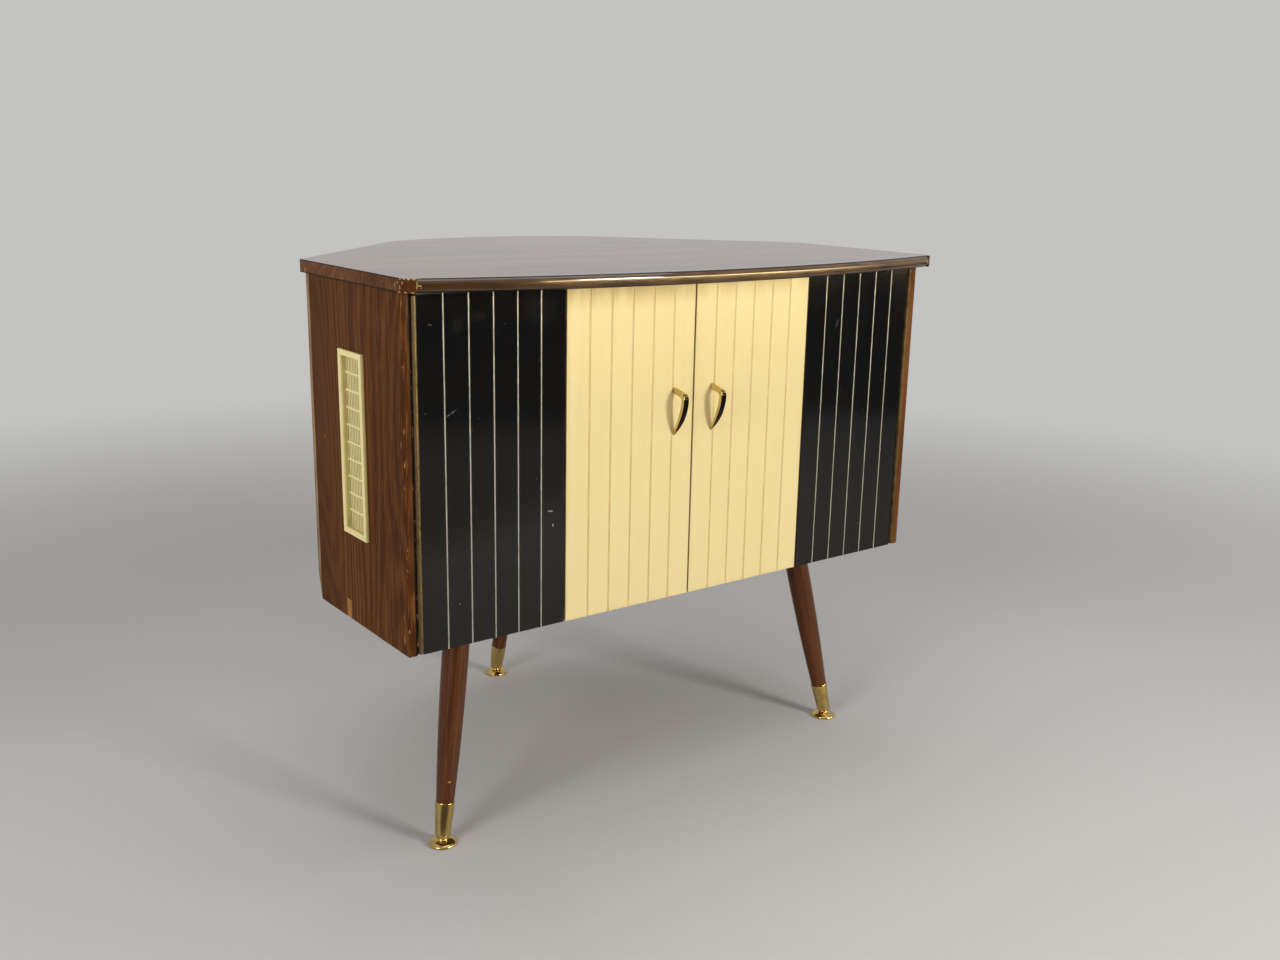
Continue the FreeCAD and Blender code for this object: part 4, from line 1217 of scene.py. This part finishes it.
@dataclass
class SideWall:
    """A side panel with its moulded vent grille, and the rear wall behind it.

    Attributes:
        side: Which side it is on.
        front_round: The rounding of the panel's worn front corner.
        hinge_round: The rounding of its inner corner beside the hinge.
        arris: The rounding of its other edges.
        chip_height: How far up the rear the left panel's lost corner reaches.
        chip_depth: How far forward it reaches.
        chip_inward: How far in from the outer face it reaches.
        moulding: The rounding of the grille's edges.
    """

    side: Side
    front_round: float = 2.2 * MM
    hinge_round: float = 2.7 * MM
    arris: float = 0.7 * MM
    chip_height: float = 37 * MM
    chip_depth: float = 9 * MM
    chip_inward: float = 5.5 * MM
    moulding: float = 0.35 * MM

    def build(self) -> None:
        """Model the panel, the rear wall and the grille."""
        word = self.side.word
        low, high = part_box(f"side_panel_{word}")
        face = max(abs(low.x), abs(high.x))
        front = low.y + NEAR
        self.panel = traced(f"side_panel_{word}", f"side_panel_worn_{word}")
        self.wall = traced(f"rear_wall_{word}", f"rear_wall_eased_{word}")
        if self.side is Side.LEFT:
            self.chip(face)
        for outer, radius in ((True, self.front_round), (False, self.hinge_round)):
            ease(self.panel, lambda middle, way: abs(way.z) > STRAIGHT and middle.y < front
                 and (abs(middle.x) > face - NEAR) is outer, radius, 4)
        ease(self.panel, lambda middle, way: abs(middle.x) > face - NEAR or middle.y < front, self.arris, 2)
        smooth(self.panel)
        smooth(self.wall)
        self.grille = traced(f"vent_grille_{word}", f"vent_grille_moulded_{word}")
        mould(self.grille, self.moulding)

    def chip(self, face: float) -> None:
        """Take the lost lower corner off the panel and the wall.

        Args:
            face: The distance of the panel's outer face from the middle plane.
        """
        heel = max(corner.co.y for corner in self.wall.data.vertices if abs(abs(corner.co.x) - face) < NEAR)
        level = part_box(f"rear_wall_{self.side.word}")[0].z + self.chip_height
        height, depth, inward = self.chip_height, self.chip_depth, self.chip_inward
        outward = Vector((-depth * height, height * inward, -depth * inward)).normalized()
        for board in (self.panel, self.wall):
            cut(board, (-face, heel, level), outward)

    def dress(self) -> None:
        """Give the panel, the wall and the grille their finishes."""
        word = self.side.word
        settle(self.panel, side_wood(self.side), "carcass", f"side_panel_{word}")
        settle(self.wall, PLY, "carcass", f"rear_wall_{word}")
        settle(self.grille, ivory(self.side), "carcass", f"vent_grille_{word}")


def is_framing(way: Vector) -> bool:
    """Return whether an edge runs upright or from side to side."""
    return abs(way.z) > STRAIGHT or abs(way.x) > STRAIGHT


@dataclass
class Leaf:
    """One leaf of a folding door: its board, its glossy sheet and the lines in the sheet's grooves.

    Attributes:
        row: The leaf's word in the CAD nodes' names.
        side: Which door it is in.
        arris: The rounding of the board's edges.
        groove_round: The rounding of the grooves' edges.
        groove_width: The grooves' width.
        line_count: How many lines there are.
        line_width: The lines' width, a little under the grooves'.
        sunk: How far the lines lie below the sheet's face.
        rim: The width of the rims along a line's dished face.
        dish: How deep that face is dished.
    """

    row: str
    side: Side
    arris: float = 0.5 * MM
    groove_round: float = 0.22 * MM
    groove_width: float = 2.4 * MM
    line_count: int = 5
    line_width: float = 1.7 * MM
    sunk: float = 0.18 * MM
    rim: float = 0.5 * MM
    dish: float = 0.12 * MM

    def build(self) -> None:
        """Model the board, the sheet and the lines."""
        stem = f"{self.row}_leaf"
        word = self.side.word
        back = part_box(f"{stem}_board_{word}")[1].y - NEAR
        self.board = traced(f"{stem}_board_{word}", f"{stem}_board_eased_{word}")
        ease(self.board, lambda middle, way: middle.y > back and is_framing(way), self.arris, 2)
        smooth(self.board)
        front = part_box(f"{stem}_facing_{word}")[0].y + NEAR / 2
        self.sheet = traced(f"{stem}_facing_{word}", f"{stem}_sheet_{word}")
        ease(self.sheet, lambda middle, way: middle.y < front and is_framing(way), self.groove_round, 2)
        smooth(self.sheet)
        self.lines = joined(f"{stem}_lines_{word}", self.rule_lines(f"{stem}_stripes_{word}"))
        smooth(self.lines)

    def rule_lines(self, node: str) -> list[Piece]:
        """Model one painted line and copy it into the other grooves.

        Args:
            node: The CAD node of the leaf's strips.

        Returns:
            The lines.
        """
        low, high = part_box(node)
        step = (high.x - low.x - self.groove_width) / (self.line_count - 1)
        deselect()
        middle = (low.x + self.groove_width / 2, (low.y + self.sunk + high.y) / 2, (low.z + high.z) / 2)
        bpy.ops.mesh.primitive_cube_add(size=1, location=middle)
        line = bpy.context.object
        line.scale = (self.line_width, high.y - low.y - self.sunk, high.z - low.z)
        keep_place()
        pick(line, Part.FACES, lambda centre, normal: normal.y < -STRAIGHT)
        bpy.ops.mesh.inset(thickness=self.rim)
        bpy.ops.transform.translate(value=(0, self.dish, 0))
        leave()
        lines = [line]
        for index in range(1, self.line_count):
            copy = line.copy()
            copy.data = line.data.copy()
            bpy.context.scene.collection.objects.link(copy)
            stand(copy, Matrix.Translation((index * step, 0, 0)))
            lines.append(copy)
        return lines

    def dress(self) -> None:
        """Give the leaf its finishes."""
        word = self.side.word
        body = f"{self.row}_leaf_{word}"
        if self.row == "outer":
            finishes = LEAF_CORE, black_sheet(self.side), BLACK_LINE
        else:
            finishes = CREAM_CORE, cream_sheet(self.side), CREAM_LINE
        pieces = {"board": self.board, "facing": self.sheet, "stripes": self.lines}
        for (kind, piece), finish in zip(pieces.items(), finishes):
            settle(piece, finish, body, f"{self.row}_leaf_{kind}_{word}")


PLATE_BODIES = {
    "outer_hinge_frame_plate": "carcass", "outer_hinge_leaf_plate": "outer_leaf_{}",
    "fold_hinge_outer_plate": "outer_leaf_{}", "fold_hinge_inner_plate": "inner_leaf_{}"}


@dataclass
class FoldingDoor:
    """Two hinged leaves with their piano hinges and the bow handle.

    Attributes:
        side: Which door it is.
        handle_round: The rounding of the handle's edges.
        handle_smooth: The sharpest edge of the handle that is shaded smooth, in degrees.
        shoulder: How far below the handle's top the dark reflection painted on its front starts.
        proud: How far before the leaf it starts.
    """

    side: Side
    handle_round: float = 1.25 * MM
    handle_smooth: float = 50.0
    shoulder: float = 9 * MM
    proud: float = 0.5 * MM

    def build(self) -> None:
        """Model the leaves, the hinges and the handle."""
        word = self.side.word
        self.leaves = [Leaf("outer", self.side), Leaf("inner", self.side)]
        for leaf in self.leaves:
            leaf.build()
        self.plates: dict[str, Piece] = {}
        for stem in PLATE_BODIES:
            self.plates[stem] = traced(f"{stem}_{word}", f"{stem}_rolled_{word}")
            smooth(self.plates[stem])
        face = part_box(f"inner_leaf_facing_{word}")[0].y
        self.handle = traced(f"handle_{word}", f"handle_cast_{word}")
        ease(self.handle, lambda middle, way: middle.y < face - NEAR, self.handle_round, 4)
        smooth(self.handle, self.handle_smooth)
        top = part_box(f"handle_{word}")[1].z
        # The grip's forward faces below the shoulder get a painted dark reflection.
        fronts = self.handle.data.attributes.new("black_front", "FLOAT", "FACE")
        for facet, front in zip(self.handle.data.polygons, fronts.data):
            on_grip = facet.center.y < face - self.proud and facet.center.z < top - self.shoulder
            front.value = float(on_grip and facet.normal.y < -FORWARD)

    def dress(self) -> None:
        """Give the leaves, the hinges and the handle their finishes."""
        word = self.side.word
        for leaf in self.leaves:
            leaf.dress()
        # The right door's plates get the darker copy of the hinge brass, which is painted shade.
        plate_brass = HINGE_BRASS if self.side is Side.LEFT else SHADED_HINGE_BRASS
        for stem, plate in self.plates.items():
            settle(plate, plate_brass, PLATE_BODIES[stem].format(word), f"{stem}_{word}")
        settle(self.handle, HANDLE_BRASS, f"inner_leaf_{word}", f"handle_{word}")
        dress(HINGE_BRASS, f"fold_hinge_pin_{word}", f"outer_leaf_screws_{word}", f"inner_leaf_screws_{word}")
        dress(STEEL, f"handle_screw_{word}", f"catch_strike_{word}")


# Rings in millimetres, outward and upward from the ferrule's foot, its upper rim, its bore or the axis.
FERRULE_FOOT = ((-2.2, 0.0), (-0.9, 0.1), (-0.25, 0.55), (0.0, 1.3))
FERRULE_BEAD = ((-0.02, -1.8), (0.28, -1.3), (0.34, -0.8), (0.16, -0.25), (-0.3, 0.0))
FERRULE_BORE = ((0.2, -0.1), (0.0, -4.0))
NAIL = ((1.25, 0.0), (1.25, 0.25), (1.0, 0.55), (0.5, 0.75), (0.1, 0.8))
GLIDE = (
    (15.6, 0.0), (16.6, 0.05), (17.6, 0.5), (18.2, 1.2), (18.5, 2.1), (18.35, 3.0), (17.7, 3.9), (16.5, 4.9),
    (14.8, 5.9), (12.6, 6.9), (10.4, 7.7), (8.6, 8.5), (7.7, 9.3), (7.5, 10.2), (7.5, 13.6))


@dataclass
class Leg:
    """A splayed turned leg with its brass ferrule, nail and glide.

    Attributes:
        name: The leg's words in the CAD nodes' names.
        foot: Where its axis leaves the glide.
        heading: The way that it splays, in degrees.
        nail_turn: Where round the ferrule its nail is, in degrees from the splay's way.
        splay: How far it leans, in degrees.
        tip: The wood's radius at the glide, but for its swell.
        taper: How fast the wood thickens.
        swell: How far the wood's outline bows out at mid length.
        tail: How far the bow starts below the glide's top.
        bow_length: The bow's length along the axis.
        wood_start: Where on the axis the wood starts.
        ring_gap: The distance between the wood's rings.
        ring_count: How many rings it has.
        top_z: The level of the leg's upper end.
        ferrule_start: Where on the axis the ferrule starts.
        ferrule_length: Where on the axis it ends.
        ferrule_wall: The ferrule's wall with its fit.
        bore_fit: The bore's fit on the wood.
        nail_drop: How far below the ferrule's rim the nail is.
        nail_sunk: How far its head is sunk.
        finish: The wood's finish.
    """

    name: str
    foot: Point
    heading: float
    nail_turn: float
    splay: float = 12.9
    tip: float = 8.2 * MM
    taper: float = 0.02762
    swell: float = 3.8 * MM
    tail: float = 16.7 * MM
    bow_length: float = 341.17 * MM
    wood_start: float = 2 * MM
    ring_gap: float = 16 * MM
    ring_count: int = 21
    top_z: float = 297 * MM
    ferrule_start: float = 1.6 * MM
    ferrule_length: float = 46 * MM
    ferrule_wall: float = 1.1 * MM
    bore_fit: float = 0.25 * MM
    nail_drop: float = 7 * MM
    nail_sunk: float = 0.15 * MM
    finish: WoodFinish = LEG_WOOD

    def place(self) -> Matrix:
        """Return the matrix that leans an upright piece on the foot."""
        lean = Matrix.Rotation(math.radians(-self.splay), 4, "Y")
        return Matrix.Translation(self.foot) @ Matrix.Rotation(math.radians(self.heading), 4, "Z") @ lean

    def wood(self, height: float) -> float:
        """Return the wood's radius at a height on the leg's axis."""
        share = (height + self.tail) / self.bow_length
        return self.tip + self.taper * height + 4 * self.swell * share * (1 - share)

    def build(self) -> None:
        """Model the leg, the ferrule, its nail and the glide."""
        heights = [self.wood_start + index * self.ring_gap for index in range(self.ring_count)]
        self.shank = turned(f"leg_turned_{self.name}", [(self.wood(height), height) for height in heights])
        lay_grain(self.shank, "leg_place", lambda corner: corner)
        stand(self.shank, self.place())
        cut(self.shank, (0, 0, self.top_z), (0, 0, 1))
        self.ferrule = self.spun_ferrule()
        self.nail = self.driven_nail()
        self.glide = turned(f"glide_pressed_{self.name}", rings(GLIDE))
        stand(self.glide, Matrix.Translation((self.foot[0], self.foot[1], 0)))
        for piece in (self.shank, self.ferrule, self.nail, self.glide):
            smooth(piece)

    def spun_ferrule(self) -> Piece:
        """Turn the ferrule with its rolled foot, its bead and its bore.

        Returns:
            The ferrule.
        """
        start, end = self.ferrule_start, self.ferrule_length
        foot = rings(FERRULE_FOOT, self.wood(start) + self.ferrule_wall, start)
        bead = rings(FERRULE_BEAD, self.wood(end) + self.ferrule_wall, end)
        bore_end = end + FERRULE_BORE[-1][1] * MM
        bore = rings(FERRULE_BORE, self.wood(bore_end) + self.bore_fit, end)
        ferrule = turned(f"ferrule_spun_{self.name}", foot + bead + bore)
        stand(ferrule, self.place())
        return ferrule

    def driven_nail(self) -> Piece:
        """Turn the nail's head and set it on the ferrule.

        Returns:
            The nail.
        """
        nail = turned(f"nail_{self.name}", rings(NAIL), 20)
        level = self.ferrule_length - self.nail_drop
        reach = self.wood(level) + self.ferrule_wall - self.nail_sunk
        turn = Matrix.Rotation(math.radians(self.nail_turn), 4, "Z")
        outward = Matrix.Translation((reach, 0, level)) @ Matrix.Rotation(math.radians(90), 4, "Y")
        stand(nail, self.place() @ turn @ outward)
        return nail

    def dress(self) -> None:
        """Give the leg its finishes."""
        settle(self.shank, self.finish, "carcass", f"leg_{self.name}")
        settle(self.ferrule, BRASS, "carcass", f"ferrule_{self.name}")
        settle(self.nail, HINGE_BRASS, "carcass")
        settle(self.glide, BRASS, "carcass", f"glide_{self.name}")


BOARD_FINISHES = {"back_panel": PLY, "front_top_rail": RAIL_WOOD, "corner_posts": PLY, "door_catches": STEEL}


@dataclass
class Inside:
    """The boards and fixings that show when the doors are open or from below.

    Attributes:
        arris: The rounding of the boards' edges.
    """

    arris: float = 0.6 * MM

    def build(self) -> None:
        """Model the boards with eased edges."""
        self.boards = {node: traced(node, f"{node}_eased") for node in BOARD_FINISHES}
        for board in self.boards.values():
            mould(board, self.arris)

    def dress(self) -> None:
        """Give the boards and fixings their finishes."""
        for node, board in self.boards.items():
            settle(board, BOARD_FINISHES[node], "carcass", node)
        dress(PLY, "bottom_panel")
        dress(STEEL, "leg_plates", "leg_bolts", "leg_plate_screws")
        dress(HINGE_BRASS, "outer_hinge_pins", "outer_hinge_frame_screws")


@dataclass(frozen=True)
class SoftBox:
    """A square lamp that is aimed at the cabinet.

    Attributes:
        name: The lamp's name.
        place: Where it hangs.
        size: The length of its sides.
        power: Its power in watts.
    """

    name: str
    place: Point
    size: float
    power: float

    def hang(self, target: Vector) -> None:
        """Hang the lamp and aim it.

        Args:
            target: The point that it is aimed at.
        """
        lamp = bpy.data.lights.new(self.name, "AREA")
        lamp.size = self.size
        lamp.energy = self.power
        holder = bpy.data.objects.new(self.name, lamp)
        bpy.context.scene.collection.objects.link(holder)
        holder.location = self.place
        holder.rotation_euler = (target - Vector(self.place)).to_track_quat("-Z", "Y").to_euler()


SOFT_BOXES = (
    SoftBox("right_box", (0.85, -2.65, 1.15), 0.6, 40.5), SoftBox("left_box", (-2.4, -1.0, 1.3), 1.0, 26.0),
    SoftBox("top_box", (0.1, -0.1, 2.7), 2.2, 24.0))


@dataclass
class Studio:
    """The floor, the light and the camera.

    Attributes:
        backdrop: The pale colour of the background.
        floor: The floor's colour.
        grit: The colour of its grit.
        floor_radius: The floor's radius.
        floor_fade: How far out the floor starts to fade into the background, and where it has.
        fill: The colour of the light from all around.
        fill_level: How bright that light is.
        target: The point that the lamps are aimed at.
        camera: Where the camera stands.
        focal: The focal length in pixels of the picture.
        picture_width: The picture's width in pixels.
        yaw: How far the camera looks to the right of straight ahead, in degrees.
        pitch: How far it looks down, in degrees.
        roll: How far it leans, in degrees.
        shade_edge: Where the dimmed floor and the dark room before the doors start.
        shade_fade: How far from there the floor starts to dim, and where it has.
        shade: How far it dims before the dark room starts.
        far: Where the floor's reflection starts to be dark on all sides, and where it is.
        flag: The middle of the dark flag that stands before the left foot.
        flag_reach: How far the flag reaches.
        room_colours: The dark and the less dark colour of the dark room.
        room_edge: A point on the edge where the dark room starts.
        room_turn: How far that edge turns from the doors' plane, in degrees.
        room_blend: How wide the blend from the floor to the dark room is.
        room_depth: How far before the doors the dark room's wall stands.
        room_width: The dark room's width.
        room_height: The height of its wall.
        room_lift: How far above the floor the dark room lies.
        strip_radius: The radius of the bright strip's curve.
        strip_range: The strip's ends, in degrees to the right of straight ahead of the doors.
        strip_levels: The strip's lower and upper edges.
        strip_colour: The strip's colour.
        strip_glow: How bright the strip is.
        strip_fade: Where along X the strip starts to dim, and where it is dimmest.
        strip_dim: How much of the glow its dim end keeps.
    """

    backdrop: Colour = (0.55, 0.545, 0.535)
    floor: Colour = (0.61, 0.595, 0.58)
    grit: Colour = (0.4, 0.39, 0.38)
    floor_radius: float = 40.0
    floor_fade: tuple[float, float] = (0.9, 3.2)
    fill: Colour = (1.0, 0.99, 0.975)
    fill_level: float = 0.23
    target: Point = (0.0, -0.1, 0.45)
    camera: Point = (-1.06531, -1.52368, 0.88471)
    focal: float = 1278.29
    picture_width: int = 1280
    yaw: float = 37.2487
    pitch: float = 14.3267
    roll: float = -1.1928
    shade_edge: float = -0.2
    shade_fade: tuple[float, float] = (-0.2, -0.7)
    shade: float = 0.66
    far: tuple[float, float] = (2.3, 3.1)
    flag: tuple[float, float] = (-0.455, -0.37)
    flag_reach: float = 0.24
    room_colours: tuple[Colour, Colour] = ((0.02, 0.02, 0.021), (0.06, 0.058, 0.056))
    room_edge: tuple[float, float] = (0.33, -1.3)
    room_turn: float = 20.0
    room_blend: float = 0.7
    room_depth: float = 6.5
    room_width: float = 18.0
    room_height: float = 2.6
    room_lift: float = 4 * MM
    strip_radius: float = 2.9
    strip_range: tuple[float, float] = (5.5, 80.0)
    strip_levels: tuple[float, float] = (0.57, 0.748)
    strip_colour: Colour = (1.0, 0.82, 0.4)
    strip_glow: float = 34.0
    strip_fade: tuple[float, float] = (1.9, 2.7)
    strip_dim: float = 0.03

    def build(self) -> None:
        """Set up the floor, the cards, the lamps, the world and the camera."""
        self.lay_floor()
        self.darken_room()
        self.hang_strip()
        for lamp in SOFT_BOXES:
            lamp.hang(Vector(self.target))
        self.light_world()
        self.aim()
        bpy.context.scene.view_settings.view_transform = "Standard"

    def lay_floor(self) -> None:
        """Lay a round floor that fades into the background."""
        deselect()
        bpy.ops.mesh.primitive_circle_add(vertices=96, radius=self.floor_radius, fill_type="NGON")
        floor = named("studio_floor")
        graph = Graph("studio_floor")
        grit = graph.times(graph.noise((60.0, 60.0, 60.0), detail=4.0), 0.12)
        graph.surface(Base_Color=graph.mix(grit, self.floor, self.grit), Roughness=0.75)
        glow = graph.add("ShaderNodeEmission", {"Color": self.backdrop})
        graph.blend(graph.fade(graph.distance(graph.place), *self.floor_fade), graph.shader, glow)
        floor.data.materials.append(graph.material)

    def darken_room(self) -> None:
        """Lay a dark floor before the pale one and stand a dark wall behind it, which only gloss sees: it
        lights nothing and paints dark reflections into the glossy surfaces.
        """
        deselect()
        bpy.ops.mesh.primitive_plane_add(size=1)
        room = named("dark_room")
        room.scale = (self.room_width, self.room_depth, 1)
        keep_place()
        pick(room, Part.VERTS, lambda corner, normal: True)
        bpy.ops.transform.translate(value=(0, -self.room_depth / 2, 0))
        pick(room, Part.VERTS, lambda corner, normal: corner.y < -self.room_depth / 2)
        bpy.ops.mesh.extrude_region_move(TRANSFORM_OT_translate={"value": (0, 0, self.room_height)})
        leave()
        room.location = (0, self.shade_edge, self.room_lift)
        graph = Graph("dark_room")
        folds = graph.noise((3.0, 3.0, 0.5), detail=3.0)
        graph.surface(Base_Color=graph.mix(folds, *self.room_colours), Roughness=0.9)
        edge = (self.room_edge[0], self.room_edge[1] - self.shade_edge, 0.0)
        depth = graph.along("y", graph.stretch((1.0, 1.0, 1.0), (0.0, 0.0, -self.room_turn), edge))
        flag = (self.flag[0], self.flag[1] - self.shade_edge, 0.0)
        dark = functools.reduce(graph.most, (
            graph.times(graph.fade(graph.along("y"), *self.shade_fade), self.shade),
            graph.fade(depth, self.room_blend / 2, -self.room_blend / 2),
            graph.fade(graph.distance(graph.place), *self.far),
            graph.spot(flag, (self.flag_reach, self.flag_reach, 1.0))))
        graph.blend(dark, graph.add("ShaderNodeBsdfTransparent"), graph.shader)
        self.show_to_gloss(room, graph)

    def hang_strip(self) -> None:
        """Hang a long glowing strip to the right of the camera, which only gloss sees: it is no lamp, lights
        nothing and paints highlights into the glossy surfaces, such as the lipping's bullnose.

        It ends at the top's level, so that the top doesn't mirror it.
        """
        start, end = (math.radians(angle) for angle in self.strip_range)
        low, high = self.strip_levels
        deselect()
        bpy.ops.mesh.primitive_circle_add(
            vertices=180, radius=self.strip_radius, fill_type="NOTHING", location=(0, 0, low))
        strip = named("bright_strip")
        pick(strip, Part.VERTS, lambda corner, normal: not start < math.atan2(corner.x, -corner.y) < end)
        bpy.ops.mesh.delete(type="VERT")
        bpy.ops.mesh.select_all(action="SELECT")
        bpy.ops.mesh.extrude_region_move(TRANSFORM_OT_translate={"value": (0, 0, high - low)})
        leave()
        graph = Graph("bright_strip")
        dim_start, dim_end = self.strip_fade
        level = graph.calc("ADD", graph.fade(graph.along("x"), dim_end, dim_start), self.strip_dim)
        strength = graph.times(level, self.strip_glow)
        graph.show(graph.add("ShaderNodeEmission", {"Color": self.strip_colour, "Strength": strength}))
        self.show_to_gloss(strip, graph)

    def show_to_gloss(self, card: Piece, graph: Graph) -> None:
        """Give a card its material and hide it from all but glossy surfaces.

        Args:
            card: The card.
            graph: Its material's nodes.
        """
        card.data.materials.append(graph.material)
        for kind in ("camera", "diffuse", "transmission", "volume_scatter", "shadow"):
            setattr(card, f"visible_{kind}", False)

    def light_world(self) -> None:
        """Light the scene from all around, and show the backdrop to the camera, to gloss and to glass."""
        world = bpy.data.worlds.new("studio_world")
        world.use_nodes = True
        bpy.context.scene.world = world
        nodes = Nodes(world.node_tree, "ShaderNodeOutputWorld")
        rays = nodes.add("ShaderNodeLightPath").outputs
        kinds = ("Is Camera Ray", "Is Glossy Ray", "Is Transmission Ray")
        seen = functools.reduce(nodes.most, [rays[kind] for kind in kinds])
        fill = nodes.add("ShaderNodeBackground", {"Color": self.fill, "Strength": self.fill_level})
        nodes.blend(seen, fill, nodes.add("ShaderNodeBackground", {"Color": self.backdrop}))

    def aim(self) -> None:
        """Set the camera where the photograph was taken from."""
        yaw, pitch, roll = (math.radians(angle) for angle in (self.yaw, self.pitch, self.roll))
        ahead = Vector((math.sin(yaw) * math.cos(pitch), math.cos(yaw) * math.cos(pitch), -math.sin(pitch)))
        right = Vector((math.cos(yaw), -math.sin(yaw), 0))
        down = ahead.cross(right)
        leaned_right = math.cos(roll) * right + math.sin(roll) * down
        leaned_down = -math.sin(roll) * right + math.cos(roll) * down
        turn = Matrix((leaned_right, -leaned_down, -ahead)).transposed().to_4x4()
        data = bpy.data.cameras.new("photo_camera")
        data.sensor_width = 36.0
        data.lens = self.focal * data.sensor_width / self.picture_width
        data.clip_start = 0.05
        camera = bpy.data.objects.new("photo_camera", data)
        bpy.context.scene.collection.objects.link(camera)
        camera.matrix_world = Matrix.Translation(self.camera) @ turn
        bpy.context.scene.camera = camera


def main() -> None:
    """Build and dress the cabinet in order, then set up the studio."""
    logging.basicConfig(level=logging.INFO, format="%(name)s %(message)s")
    parts = (
        CabinetTop(), *(SideWall(side) for side in Side), *(FoldingDoor(side) for side in Side),
        Leg("front_left", metres(-350, -170.75, 11), heading=219.0, nail_turn=-75.0, finish=CHIPPED_LEG),
        Leg("front_right", metres(350, -170.75, 11), heading=-39.0, nail_turn=-105.0),
        Leg("back", metres(0, 281.25, 11), heading=90.0, nail_turn=150.0),
        Inside())
    for part in parts:
        part.build()
        part.dress()
    Studio().build()


if __name__ == "__main__":
    main()
